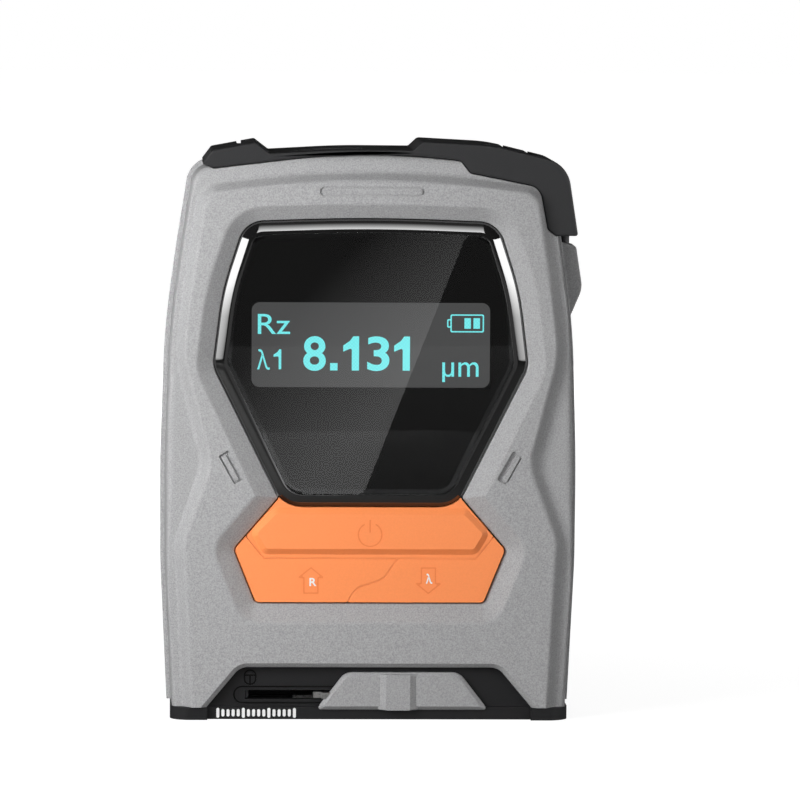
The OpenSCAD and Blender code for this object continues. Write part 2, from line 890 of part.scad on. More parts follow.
module display_holder() {
    color(black)
        union() {
            slab(y_lens_back, y_flange)
                difference() {
                    polygon(rounded(grow(lens_line, -1.2), coarse));
                    panel_shape(panel_fit);
                }
            slab(y_flange, y_flange + flange_t)
                difference() {
                    polygon(rounded(grow(lens_line, 0.5), coarse));
                    panel_shape(-1.5);
                }
            for (s = [-1, 1])
                for (z = [lens_bottom_z + 5, lens_top_z - 5])
                    translate([s * 12, 0, z])
                        rod_y(y_flange + flange_t - eps, y_board, holder_peg_r);
        }
}

module display_panel() {
    color([0.3, 0.3, 0.3])
        slab(y_lens_back, y_flange)
            panel_shape(0);
}

// Keys: the field below the display is split along two lines
power_low_z = keys_tip_z - 1.7;
power_foot_x = keys_bottom_w / 2 - 1.5;
power_tip = [keys_w / 2 - 2.3, keys_tip_z + 2.6];
split_line = [
    [6.4, power_low_z + 1],
    [4.9, power_low_z - 0.8],
    [3, keys_bottom_z + 5],
    [1.8, keys_bottom_z + 4.3],
    [-2.2, keys_bottom_z + 3],
    [-3.3, keys_bottom_z + 1.8],
    [-5, keys_bottom_z - 1],
];
tab_w = 0.8;
skirt_in = 1.4;
switch_h = 1.6;
button_h = 0.4;
button_r = 1.5;
press_room = 0.05;
y_button = y_board - switch_h - button_h;
y_plunger = y_button - key_travel - press_room;
y_cap = y_back - key_travel - 0.2;
skirt_top_z = lens_bottom_z - bezel_w - 3;

module key_field() {
    difference() {
        offset(delta = -key_gap)
            polygon(rounded(hole_line, coarse));
        offset(delta = key_gap)
            polygon(rounded(bezel_line, coarse));
        translate([-far, keys_waist_z])
            square([2 * far, far]);
    }
}

module power_region() {
    polygon([
        [-far, far],
        [-far, power_tip.y + far],
        [-power_tip.x - 9, power_tip.y + 10.8],
        [-power_tip.x, power_tip.y],
        [-power_foot_x, power_low_z],
        [power_foot_x, power_low_z],
        power_tip,
        [power_tip.x + 9, power_tip.y + 10.8],
        [far, power_tip.y + far],
        [far, far],
    ]);
}

module right_region() {
    top_end = [split_line[0].x, far];
    low_end = [split_line[6].x, -far];
    polygon(concat([top_end], split_line, [low_end, [far, -far], [far, far]]));
}

module power_shape() {
    intersection() {
        key_field();
        offset(delta = -key_gap / 2)
            power_region();
    }
}

module lower_shape(right) {
    difference() {
        key_field();
        offset(delta = key_gap / 2)
            power_region();
        if (right)
            offset(delta = key_gap / 2)
                difference() {
                    square(2 * far, center = true);
                    right_region();
                }
        else
            offset(delta = key_gap / 2)
                right_region();
    }
}

// A key's cap through the opening, and its skirt, tabs and plunger behind
module key_body(tab_x, tab_z) {
    slab(y_key, y_cap)
        children();
    slab(y_cap - eps, y_plunger)
        intersection() {
            offset(delta = -skirt_in)
                children();
            translate([-far, 0])
                square([2 * far, skirt_top_z]);
        }
    slab(y_back, y_back + flange_t)
        intersection() {
            offset(delta = tab_w)
                children();
            translate([min(tab_x), tab_z[0]])
                square([max(tab_x) - min(tab_x), tab_z[1] - tab_z[0]]);
        }
}

tip_x = keys_w / 2;
plateau_slope = 1.2;
plateau_z = lens_bottom_z - bezel_w - key_gap - plateau_slope - 0.05;
plateau_line = [
    [-power_foot_x + 0.4, power_low_z + 1.9, 0.8],
    [power_foot_x - 0.4, power_low_z + 1.9, 0.8],
    [power_tip.x - 2.1, power_tip.y + 0.6, 0.8],
    [waist_x + 0.3, plateau_z, 0.8],
    [-waist_x - 0.3, plateau_z, 0.8],
    [-power_tip.x + 2.1, power_tip.y + 0.6, 0.8],
];

module power_key() {
    color(orange)
        union() {
            key_body([-tip_x - 1, -waist_x - 1.5], [power_tip.y + 1.2, skirt_top_z])
                power_shape();
            key_body([waist_x + 1.5, tip_x + 1], [power_tip.y + 1.2, skirt_top_z])
                power_shape();
            loft([
                [rounded(plateau_line, coarse), y_key - plateau_rise],
                [rounded(grow(plateau_line, plateau_slope), coarse), y_key + eps],
            ]);
        }
}

module parameter_key() {
    color(orange)
        key_body([-tip_x - 1, -tip_x + 4], [keys_bottom_z + 1, keys_tip_z + 0.5])
            lower_shape(false);
}

module cutoff_key() {
    color(orange)
        key_body([tip_x - 4, tip_x + 1], [keys_bottom_z + 1, keys_tip_z + 0.5])
            lower_shape(true);
}

// Main board and what is soldered to it
board_margin = 7.7;
board_w = 2 * (half_w - board_margin);
board_low_margin = 13.1;
board_low_w = 2 * (half_w - board_low_margin);
board_tab_w = 28;
board_low_z = 22;
board_step_z = 37;
board_tab_drop = 7.8;
board_tab_z = body_h - board_tab_drop;
switch_w = 5;
switch_at = [[0, 36.5], [-11.6, 27.4], [11.6, 27.4]];
buzzer_r = 4.5;
buzzer_h = 4;
buzzer_hole_r = 1;
buzzer_x = 18;
buzzer_drop = 25.7;
buzzer_z = body_h - buzzer_drop;

module main_board() {
    color("darkgreen")
        difference() {
            slab(y_board, y_board_back)
                union() {
                    translate([-board_low_w / 2, board_low_z])
                        square([board_low_w, board_step_z - board_low_z + eps]);
                    translate([-board_w / 2, board_step_z])
                        square([board_w, board_high_z - board_step_z]);
                    translate([-board_tab_w / 2, board_high_z - eps])
                        square([board_tab_w, board_tab_z - board_high_z]);
                }
            at_board_screws()
                rod_y(y_board - 1, y_board_back + 1, board_screw_r + screw_fit);
        }
}

module tact_switches() {
    color("dimgray")
        for (p = switch_at)
            translate([p.x, 0, p.y])
                union() {
                    translate([-switch_w / 2, y_board - switch_h, -switch_w / 2])
                        cube([switch_w, switch_h, switch_w]);
                    rod_y(y_button, y_board - switch_h + eps, button_r);
                }
}

module buzzer() {
    color("dimgray")
        translate([buzzer_x, 0, buzzer_z])
            difference() {
                rod_y(y_board_back, y_board_back + buzzer_h, buzzer_r);
                rod_y(y_board_back + buzzer_h - 1, y_board_back + buzzer_h + 1, buzzer_hole_r);
            }
}

module charge_socket() {
    color("silver")
        difference() {
            box(
                [socket_x - socket_w / 2, socket_x + socket_w / 2],
                [y_board_back, y_board_back + socket_t],
                [socket_z - socket_l, socket_z]
            );
            box(
                [socket_x - socket_w / 2 + 0.4, socket_x + socket_w / 2 - 0.4],
                [y_board_back + 0.4, y_board_back + socket_t - 0.4],
                [socket_z - socket_l + 1.5, socket_z + 1]
            );
        }
}

battery_z = 48;
battery_fit = 0.3;
battery_rail = 1.5;

module battery_rails() {
    for (s = [-1, 1])
        translate([s * (battery_w / 2 + battery_fit + battery_rail / 2), 0, 0])
            box(
                [-battery_rail / 2, battery_rail / 2],
                [y_floor - battery_t * 0.7, y_floor + 0.5],
                [battery_z, battery_z + battery_l]
            );
}

module battery() {
    color("lightgray")
        translate([-battery_w / 2, y_floor - battery_t, battery_z])
            cube([battery_w, battery_t, battery_l]);
}

// Traverse drive
plate_t = 3;
drive_x = 3;
carriage_l = 10;
end_room = 2;
drive_l = 2 * plate_t + carriage_l + stroke + 2 * end_room;
drive_gap = 0.8;
drive_front = 8;
drive_y = [-drive_front, y_floor - drive_gap];
drive_floor = 2;
drive_top_z = 21;
screw_back = 5;
screw_y = drive_y[1] - screw_back;
screw_z = 15.5;
rod_gap = 6;
rod_front = 4;
rod_y_at = [-rod_front, screw_y - rod_gap];
rod_z = 18.3;
bush_r = screw_r + 1.5;
motor_plate_x = -7;
motor_boss_r = 3;
coupling_x = [-3.4, 2.6];
shaft_r = 1;
drive_z = base_t + drive_floor;
drive_screw_x = [drive_x + plate_t + 0.5, drive_x + drive_l - plate_t - 0.5];
drive_screw_y = [drive_y[0] + 2, drive_y[1] - 2];
pickup_z = 9;
pickup_slack = 0.6;

module at_drive_screws() {
    for (x = drive_screw_x)
        for (y = drive_screw_y)
            translate([x, y, 0])
                children();
}

module at_lead_axis() {
    translate([0, screw_y, screw_z])
        children();
}

module at_rods() {
    for (y = rod_y_at)
        translate([0, y, rod_z])
            children();
}

module drive_frame() {
    color("gainsboro")
        difference() {
            union() {
                box([drive_x, drive_x + drive_l], drive_y, [base_t, drive_z]);
                box([motor_plate_x, drive_x + drive_l], [rail_y, drive_y[1]], [base_t, drive_z]);
                box([drive_x, drive_x + plate_t], drive_y, [base_t, drive_top_z]);
                box([drive_x + drive_l - plate_t, drive_x + drive_l], drive_y, [base_t, drive_top_z]);
                box(
                    [motor_plate_x, motor_plate_x + plate_t],
                    [screw_y - motor_r, drive_y[1]],
                    [drive_z - eps, drive_top_z]
                );
                at_drive_screws()
                    translate([0, 0, base_t])
                        cylinder(h = drive_floor + 1.5, r = 2.4);
            }
            box(
                [drive_x - 1, drive_x + plate_t + eps],
                [-pickup_r - pickup_slack, pickup_r + pickup_slack],
                [drive_z, rod_z - rod_r - 1.2]
            );
            at_lead_axis()
                rod_x(drive_x - 1, drive_x + drive_l + 1, bush_r);
            at_lead_axis()
                rod_x(motor_plate_x - 1, motor_plate_x + plate_t + 1, motor_boss_r + run_fit);
            at_rods()
                rod_x(drive_x - 1, drive_x + drive_l + 1, rod_r + run_fit);
            at_drive_screws()
                cylinder(h = base_t + drive_floor + 3, r = base_screw_r + screw_fit);
        }
}

module drive_motor() {
    color("silver")
        at_lead_axis()
            difference() {
                union() {
                    rod_x(motor_plate_x - motor_l, motor_plate_x, motor_r);
                    rod_x(motor_plate_x - 1, motor_plate_x + plate_t, motor_boss_r);
                }
                rod_x(motor_plate_x - 2, motor_plate_x + plate_t + 1, shaft_r + run_fit);
            }
}

module motor_shaft() {
    color("gray")
        at_lead_axis()
            rod_x(motor_plate_x - 1.9, -0.2, shaft_r);
}

module shaft_coupling() {
    color("goldenrod")
        at_lead_axis()
            difference() {
                rod_x(coupling_x[0], coupling_x[1], screw_r + 1);
                rod_x(coupling_x[0] - 1, 0, shaft_r);
                rod_x(-0.1, coupling_x[1] + 1, screw_r);
            }
}

module lead_screw() {
    color("gray")
        at_lead_axis()
            rod_x(0, drive_x + drive_l, screw_r);
}

module screw_bushes() {
    color("goldenrod")
        for (x = [drive_x, drive_x + drive_l - plate_t])
            at_lead_axis()
                difference() {
                    rod_x(x, x + plate_t, bush_r);
                    rod_x(x - 1, x + plate_t + 1, screw_r + run_fit);
                }
}

module guide_rods() {
    color("gray")
        at_rods()
            rod_x(drive_x, drive_x + drive_l, rod_r);
}

// Carriage and pickup
carriage_x = drive_x + plate_t + end_room;
carriage_y = [drive_y[0] + 1, drive_y[1] - 1];
carriage_z = [13.5, 21];
pivot_x = carriage_x + carriage_l / 2;
pin_r = 1;
ear_t = 1.8;
ear_gap = 0.4;
ear_y = pickup_r + ear_gap;
nut_l = 6;
nut_r = screw_r + 1.5;

module carriage() {
    color("darkgray")
        difference() {
            union() {
                box([carriage_x, carriage_x + carriage_l], carriage_y, carriage_z);
                for (s = [-1, 1])
                    translate([pivot_x, s * (ear_y + ear_t / 2), 0])
                        box([-2.2, 2.2], [-ear_t / 2, ear_t / 2], [pickup_z - 2.2, carriage_z[0] + 1]);
            }
            at_lead_axis()
                rod_x(carriage_x - 1, carriage_x + nut_l, nut_r);
            at_lead_axis()
                rod_x(carriage_x - 1, carriage_x + carriage_l + 1, screw_r + 0.4);
            at_rods()
                rod_x(carriage_x - 1, carriage_x + carriage_l + 1, rod_r + run_fit);
            translate([pivot_x, 0, pickup_z])
                rod_y(-ear_y - ear_t - 1, ear_y + ear_t + 1, pin_r);
        }
}

module drive_nut() {
    color("goldenrod")
        at_lead_axis()
            difference() {
                rod_x(carriage_x, carriage_x + nut_l, nut_r);
                rod_x(carriage_x - 1, carriage_x + nut_l + 1, screw_r + run_fit);
            }
}

module pickup_pin() {
    color("gray")
        translate([pivot_x, 0, pickup_z])
            rod_y(-ear_y - ear_t, ear_y + ear_t, pin_r);
}

nose_x = -window_x - window_l / 2 + 0.5;
skid_x = nose_x + 0.9;
skid_r = 0.9;
arm_l = 15.8;
stylus_x = nose_x + 3.2;
arm_pin_x = stylus_x + arm_l;
arm_pin_r = 0.5;
arm_z = 7.7;
arm_h = 1.8;
arm_w = 1;
arm_slot_w = 2.2;
stylus_r = 0.45;
stylus_clear = 0.3;
tip_h = 0.8;
skid_clear = 0.05;

module pickup_body() {
    color("darkgray")
        difference() {
            translate([0, 0, pickup_z])
                rod_x(nose_x, pivot_x + 3, pickup_r);
            box(
                [stylus_x - 1, arm_pin_x + 1.5],
                [-arm_slot_w / 2, arm_slot_w / 2],
                [0, arm_z + arm_h / 2 + 0.6]
            );
            translate([pivot_x, 0, pickup_z])
                rod_y(-pickup_r - 1, pickup_r + 1, pin_r + run_fit);
            translate([arm_pin_x, 0, arm_z])
                rod_y(-pickup_r - 1, pickup_r + 1, arm_pin_r);
            translate([skid_x, 0, 0])
                cylinder(h = pickup_z, r = skid_r * 0.7);
        }
}

module pickup_skid() {
    color("firebrick")
        translate([skid_x, 0, skid_clear + skid_r])
            union() {
                sphere(r = skid_r);
                cylinder(h = pickup_z - skid_clear - skid_r, r = skid_r * 0.7);
            }
}

module stylus_pin() {
    color("gray")
        translate([arm_pin_x, 0, arm_z])
            rod_y(-2.6, 2.6, arm_pin_r);
}

module stylus_arm() {
    color("silver")
        difference() {
            union() {
                box(
                    [stylus_x - 0.6, arm_pin_x + 1],
                    [-arm_w / 2, arm_w / 2],
                    [arm_z - arm_h / 2, arm_z + arm_h / 2]
                );
                translate([stylus_x, 0, stylus_clear + tip_h])
                    cylinder(h = arm_z - stylus_clear - tip_h, r = stylus_r);
            }
            translate([arm_pin_x, 0, arm_z])
                rod_y(-arm_w, arm_w, arm_pin_r + run_fit / 2);
        }
}

module stylus_tip() {
    color("lightcyan")
        translate([stylus_x, 0, stylus_clear])
            cylinder(h = tip_h, r1 = 0.06, r2 = stylus_r);
}

// Fasteners
module case_screws() {
    color("dimgray")
        at_case_screws()
            difference() {
                union() {
                    rod_y(y_rear - head_sink - case_head_h, y_rear - head_sink, case_head_r);
                    rod_y(y_seam - bite + 1, y_rear - head_sink - eps, case_screw_r);
                }
                translate([0, y_rear - head_sink, 0])
                    rotate([90, 0, 0])
                        cylinder(h = 1.6, r = 1, center = true, $fn = 6);
            }
}

module board_screws() {
    color("silver")
        at_board_screws()
            difference() {
                union() {
                    rod_y(y_board_back, y_board_back + 1.2, 1.8);
                    rod_y(y_board - board_bite + 0.6, y_board_back + eps, board_screw_r);
                }
                translate([0, y_board_back + 1.2, 0])
                    rotate([90, 0, 0])
                        cylinder(h = 1.2, r = 0.8, center = true, $fn = 6);
            }
}

module base_screw(l) {
    difference() {
        union() {
            translate([0, 0, base_sink - 1.1])
                cylinder(h = 1.1, r = base_head_r);
            translate([0, 0, base_sink - eps])
                cylinder(h = l, r = base_screw_r);
        }
        translate([0, 0, base_sink - 1.1])
            cylinder(h = 1.2, r = 0.9, center = true, $fn = 6);
    }
}

module drive_screws() {
    color("silver")
        at_drive_screws()
            base_screw(base_t - base_sink + drive_floor + 1);
}

module base_screws() {
    color("silver")
        for (y = [-base_y, base_y])
            at_base_screws(y)
                base_screw(base_boss_h - 1);
}

front_housing();
rear_housing();
top_bumper();
strap_post();
base_cover();
slider_knob();
pickup_door();
display_bezel();
display_lens();
display_holder();
display_panel();
power_key();
parameter_key();
cutoff_key();
main_board();
tact_switches();
buzzer();
charge_socket();
battery();
drive_frame();
drive_motor();
motor_shaft();
shaft_coupling();
lead_screw();
screw_bushes();
guide_rods();
carriage();
drive_nut();
pickup_pin();
pickup_body();
pickup_skid();
stylus_pin();
stylus_arm();
stylus_tip();
case_screws();
board_screws();
drive_screws();
base_screws();
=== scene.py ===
"""Looks of a pocket surface roughness tester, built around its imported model."""
import logging
import math
from collections.abc import Iterable, Sequence
from dataclasses import dataclass, field
from enum import Enum

import bmesh
import bpy
from mathutils import Matrix, Vector


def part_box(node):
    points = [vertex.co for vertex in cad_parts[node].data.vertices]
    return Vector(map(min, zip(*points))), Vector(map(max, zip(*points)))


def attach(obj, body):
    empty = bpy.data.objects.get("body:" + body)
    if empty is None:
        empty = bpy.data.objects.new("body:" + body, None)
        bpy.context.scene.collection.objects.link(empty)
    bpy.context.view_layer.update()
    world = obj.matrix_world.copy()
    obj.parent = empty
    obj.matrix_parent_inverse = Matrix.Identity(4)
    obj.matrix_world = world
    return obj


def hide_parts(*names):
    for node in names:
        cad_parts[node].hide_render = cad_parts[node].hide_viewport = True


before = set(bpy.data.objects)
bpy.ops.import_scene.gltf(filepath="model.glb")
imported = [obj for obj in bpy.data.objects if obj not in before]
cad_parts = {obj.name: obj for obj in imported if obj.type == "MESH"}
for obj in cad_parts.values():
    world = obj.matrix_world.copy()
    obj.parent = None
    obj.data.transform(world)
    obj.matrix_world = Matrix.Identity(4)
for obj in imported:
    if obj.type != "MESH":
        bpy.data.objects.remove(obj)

LOG = logging.getLogger("roughness_tester")
MM = 0.001
ARC_STEPS = 14
EDGE_STEPS = 5
BAND_STEPS = 6
DRUM_STEPS = 48
FAR = 200.0
MERGE_MM = 1e-4
FACE_INSET = 1.5
WHITE = (1.0, 1.0, 1.0, 1.0)


class Body(Enum):
    """The moving groups of the tester."""

    HOUSING = "housing"
    SLIDER = "slider"
    POWER = "power"
    PARAMETER = "parameter"
    CUTOFF = "cutoff"


class Slot(Enum):
    """The finishes that the tester's record names."""

    SHELL = "shell"
    TRIM = "trim"
    BEZEL = "bezel"
    LENS = "lens"
    KEYS = "keys"
    STEEL = "steel"
    SCREEN = "screen"


class Carving(Enum):
    """Ways in which one piece changes another."""

    CUT = "DIFFERENCE"
    JOIN = "UNION"


# Outlines and lofted skins


class Outline:
    """A closed front-view outline of corners, each with a place and a rounding radius, in millimetres."""

    def __init__(self, corners: Iterable[Sequence[float]]) -> None:
        """Keep the corners, which run counter-clockwise.

        Args:
            corners: x, z and radius of each corner.
        """
        self.corners = [tuple(corner) for corner in corners]

    @classmethod
    def mirrored(cls, half: Sequence[Sequence[float]], top: Sequence[float]) -> "Outline":
        """Make a symmetric outline from its right half.

        Args:
            half: corners of the right half, from the bottom up.
            top: the corner on the middle line.

        Returns:
            The whole outline.
        """
        left = [(-x, z, r) for x, z, r in reversed(half)]
        return cls([*half, top, *left])

    def _edge(self, index: int) -> Vector:
        """Return the direction of the edge that leaves a corner.

        Args:
            index: number of the corner.

        Returns:
            The direction, of length 1.
        """
        count = len(self.corners)
        here, there = self.corners[index % count], self.corners[(index + 1) % count]
        return Vector((there[0] - here[0], there[1] - here[1])).normalized()

    def grown(self, distance: float) -> "Outline":
        """Move every edge outwards by a distance, and the radii with it.

        Args:
            distance: how far the edges move, in millimetres.

        Returns:
            The moved outline.
        """
        moved = []
        for index, (x, z, radius) in enumerate(self.corners):
            before, after = self._edge(index - 1), self._edge(index)
            share = distance / (1 + before.dot(after))
            bend = 1 if before.cross(after) > 0 else -1
            moved.append((
                x + (before.y + after.y) * share,
                z - (before.x + after.x) * share,
                max(0.2, radius + bend * distance),
            ))
        return Outline(moved)

    def points(self, steps: int = ARC_STEPS) -> list[Vector]:
        """Replace every corner by an arc.

        Args:
            steps: steps of each arc.

        Returns:
            The points of the outline.
        """
        spots = []
        for index, (x, z, radius) in enumerate(self.corners):
            before, after = self._edge(index - 1), self._edge(index)
            turn = math.atan2(before.cross(after), before.dot(after))
            start = Vector((x, z)) - before * (radius * math.tan(abs(turn) / 2))
            spoke = Vector((before.y, -before.x)) * math.copysign(radius, turn)
            centre = start - spoke
            for step in range(steps + 1):
                angle = turn * step / steps
                cos, sin = math.cos(angle), math.sin(angle)
                turned = (spoke.x * cos - spoke.y * sin, spoke.x * sin + spoke.y * cos)
                spots.append(centre + Vector(turned))
        return spots


@dataclass(frozen=True)
class Ring:
    """One loop of a lofted skin: its points, its depth and how far its edge is rounded, in millimetres."""

    points: Sequence[Vector]
    depth: float
    soft: float = 0.0

    def spots(self) -> list[Vector]:
        """Return the loop's points in space."""
        return [Vector((p.x, self.depth, p.y)) for p in self.points]


def rounded_rows(rings: Sequence[Ring], closed: bool) -> list[list[Vector]]:
    """Round the edge at each loop of a skin.

    Args:
        rings: the loops in order.
        closed: whether the last loop joins the first.

    Returns:
        Rows of points, more where an edge is rounded.
    """
    rows = []
    count = len(rings)
    spots = [ring.spots() for ring in rings]
    for index, ring in enumerate(rings):
        at_end = not closed and index in (0, count - 1)
        if ring.soft <= 0 or at_end:
            rows.append(spots[index])
            continue
        last, following = (index - 1) % count, (index + 1) % count
        for step in range(EDGE_STEPS + 1):
            share = step / EDGE_STEPS
            row = []
            for spot, a, b in zip(spots[index], spots[last], spots[following]):
                start = _towards(spot, a, ring.soft, rings[last].soft)
                end = _towards(spot, b, ring.soft, rings[following].soft)
                row.append(start * (1 - share) ** 2 + spot * 2 * share * (1 - share) + end * share ** 2)
            rows.append(row)
    return rows


def _towards(spot: Vector, goal: Vector, soft: float, other_soft: float) -> Vector:
    """Return the point where the rounding of an edge starts, on the way to the next loop.

    Args:
        spot: the point on the edge.
        goal: its neighbour on the next loop.
        soft: how far this edge is rounded.
        other_soft: how far the next loop's edge is rounded.

    Returns:
        The starting point.
    """
    way = goal - spot
    room = way.length * (0.98 if other_soft <= 0 else 0.98 * soft / (soft + other_soft))
    return spot + way.normalized() * min(soft, room) if way.length > 1e-6 else spot.copy()


def linked(name: str, data: bpy.types.ID) -> bpy.types.Object:
    """Put a mesh, lamp, camera or text into the scene as an object.

    Args:
        name: name of the object.
        data: what it shows.

    Returns:
        The new object.
    """
    made = bpy.data.objects.new(name, data)
    bpy.context.scene.collection.objects.link(made)
    return made


def as_object(name: str, bm: bmesh.types.BMesh) -> bpy.types.Object:
    """Turn a bmesh in metres into an object, and free the bmesh.

    Args:
        name: name of the piece.
        bm: the mesh.

    Returns:
        The new object.
    """
    mesh = bpy.data.meshes.new(name)
    bm.to_mesh(mesh)
    bm.free()
    return linked(name, mesh)


def discard(piece: bpy.types.Object) -> None:
    """Remove an object and its mesh.

    Args:
        piece: the object.
    """
    mesh = piece.data
    bpy.data.objects.remove(piece)
    bpy.data.meshes.remove(mesh)


def new_object(name: str, bm: bmesh.types.BMesh) -> bpy.types.Object:
    """Turn a bmesh in millimetres into an object, with its faces outwards.

    Args:
        name: name of the piece.
        bm: the mesh, which is freed.

    Returns:
        The new object, in metres.
    """
    bmesh.ops.remove_doubles(bm, verts=bm.verts, dist=MERGE_MM)
    bmesh.ops.recalc_face_normals(bm, faces=bm.faces)
    bmesh.ops.scale(bm, vec=(MM, MM, MM), verts=bm.verts)
    return as_object(name, bm)


def loft(name: str, rings: Sequence[Ring], closed: bool = False) -> bpy.types.Object:
    """Skin a row of loops, with rounded edges.

    Args:
        name: name of the piece.
        rings: the loops, all with as many points.
        closed: whether the last loop joins the first, as in a frame.

    Returns:
        The new object.
    """
    bm = bmesh.new()
    rows = [[bm.verts.new(spot) for spot in row] for row in rounded_rows(rings, closed)]
    pairs = list(zip(rows, rows[1:])) + ([(rows[-1], rows[0])] if closed else [])
    for near, far in pairs:
        for index in range(len(near)):
            follow = (index + 1) % len(near)
            bm.faces.new((near[index], near[follow], far[follow], far[index]))
    if not closed:
        bm.faces.new(list(reversed(rows[0])))
        bm.faces.new(rows[-1])
    return new_object(name, bm)


def plate(name: str, outline: Outline, front: float, back: float, soft: float = 0.0) -> bpy.types.Object:
    """Extrude an outline from one depth to another, with rounded front and back edges.

    Args:
        name: name of the piece.
        outline: the front-view outline.
        front: depth of the front face.
        back: depth of the back face.
        soft: rounding of the edges.

    Returns:
        The new object.
    """
    points = outline.points()
    inner = outline.grown(-max(soft, 0.01) * FACE_INSET).points()
    return loft(name, [
        Ring(inner, front),
        Ring(points, front, soft),
        Ring(points, back, soft),
        Ring(inner, back),
    ])


def rectangle(left: float, bottom: float, right: float, top: float, radius: float) -> Outline:
    """Return a rectangle with rounded corners."""
    spots = ((left, bottom), (right, bottom), (right, top), (left, top))
    return Outline((x, z, radius) for x, z in spots)


def hollow(
    name: str, outer: Sequence[Vector], inner: Sequence[Vector], front: float, back: float,
) -> bpy.types.Object:
    """Extrude the strip between two loops from one depth to another.

    Args:
        name: name of the piece.
        outer: points of the outer loop.
        inner: points of the inner loop.
        front: depth of the front.
        back: depth of the back.

    Returns:
        The new object.
    """
    rings = [Ring(inner, front), Ring(outer, front), Ring(outer, back), Ring(inner, back)]
    return loft(name, rings, closed=True)


def band(name: str, outline: Outline, width: float, front: float, back: float) -> bpy.types.Object:
    """Make a flat band of a given width along an outline.

    Args:
        name: name of the piece.
        outline: the middle line of the band.
        width: its width.
        front: depth of its front.
        back: depth of its back.

    Returns:
        The new object.
    """
    outer, inner = (outline.grown(side * width / 2).points(BAND_STEPS) for side in (1, -1))
    return hollow(name, outer, inner, front, back)


def block(name: str, low: Sequence[float], high: Sequence[float]) -> bpy.types.Object:
    """Make a plain box, used to cut other pieces.

    Args:
        name: name of the piece.
        low: its lowest corner.
        high: its highest corner.

    Returns:
        The new object.
    """
    bm = bmesh.new()
    bmesh.ops.create_cube(bm, size=1)
    for vert in bm.verts:
        vert.co = Vector(low[i] + (vert.co[i] + 0.5) * (high[i] - low[i]) for i in range(3))
    return new_object(name, bm)


def drum(name: str, at: Sequence[float], radius: float, front: float, back: float) -> bpy.types.Object:
    """Make a cylinder along the depth, used to cut other pieces.

    Args:
        name: name of the piece.
        at: x and z of its axis.
        radius: its radius.
        front: depth of its front end.
        back: depth of its back end.

    Returns:
        The new object.
    """
    ring = [
        Vector((at[0] + radius * math.cos(a), at[1] + radius * math.sin(a)))
        for a in (2 * math.pi * k / DRUM_STEPS for k in range(DRUM_STEPS))
    ]
    return loft(name, [Ring(ring, front), Ring(ring, back)])


def bake(piece: bpy.types.Object) -> bpy.types.Object:
    """Turn a piece's modifiers into its plain mesh.

    Args:
        piece: the object.

    Returns:
        The same object.
    """
    graph = bpy.context.evaluated_depsgraph_get()
    mesh = bpy.data.meshes.new_from_object(piece.evaluated_get(graph))
    old = piece.data
    piece.modifiers.clear()
    piece.data = mesh
    mesh.name = piece.name
    if old.users == 0:
        bpy.data.meshes.remove(old)
    return piece


def carve(
    piece: bpy.types.Object, *tools: bpy.types.Object, way: Carving = Carving.CUT,
) -> bpy.types.Object:
    """Cut tools out of a piece, or join them to it, and remove the tools.

    Args:
        piece: the object that stays.
        tools: the objects that are used up.
        way: whether the tools are cut out or joined.

    Returns:
        The changed piece.
    """
    for tool in tools:
        step = piece.modifiers.new("carve", "BOOLEAN")
        step.operation = way.value
        step.solver = "EXACT"
        step.object = tool
    bake(piece)
    for tool in tools:
        discard(tool)
    return piece


def shade(piece: bpy.types.Object, angle: float = 35.0) -> bpy.types.Object:
    """Shade a piece smoothly, with sharp edges kept and flat faces flat.

    Args:
        piece: the object.
        angle: edges that bend more than this stay sharp, in degrees.

    Returns:
        The same object.
    """
    piece.data.shade_smooth()
    piece.data.set_sharp_from_angle(angle=math.radians(angle))
    step = piece.modifiers.new("weighted", "WEIGHTED_NORMAL")
    step.keep_sharp = True
    return bake(piece)


def softened_copy(node: str, name: str, width: float, angle: float = 30.0) -> bpy.types.Object:
    """Copy a rigid node and round its edges.

    Args:
        node: name of the node.
        name: name of the new piece.
        width: width of the rounding, in millimetres.
        angle: edges that bend more than this are rounded, in degrees.

    Returns:
        The new object.
    """
    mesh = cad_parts[node].data.copy()
    mesh.materials.clear()
    bm = bmesh.new()
    bm.from_mesh(mesh)
    bmesh.ops.remove_doubles(bm, verts=bm.verts, dist=1e-6)
    bmesh.ops.dissolve_limit(bm, angle_limit=math.radians(0.5), verts=bm.verts, edges=bm.edges)
    bm.to_mesh(mesh)
    bm.free()
    piece = linked(name, mesh)
    step = piece.modifiers.new("edges", "BEVEL")
    step.width = width * MM
    step.segments = 3
    step.limit_method = "ANGLE"
    step.angle_limit = math.radians(angle)
    step.use_clamp_overlap = True
    return bake(piece)


# Finishes


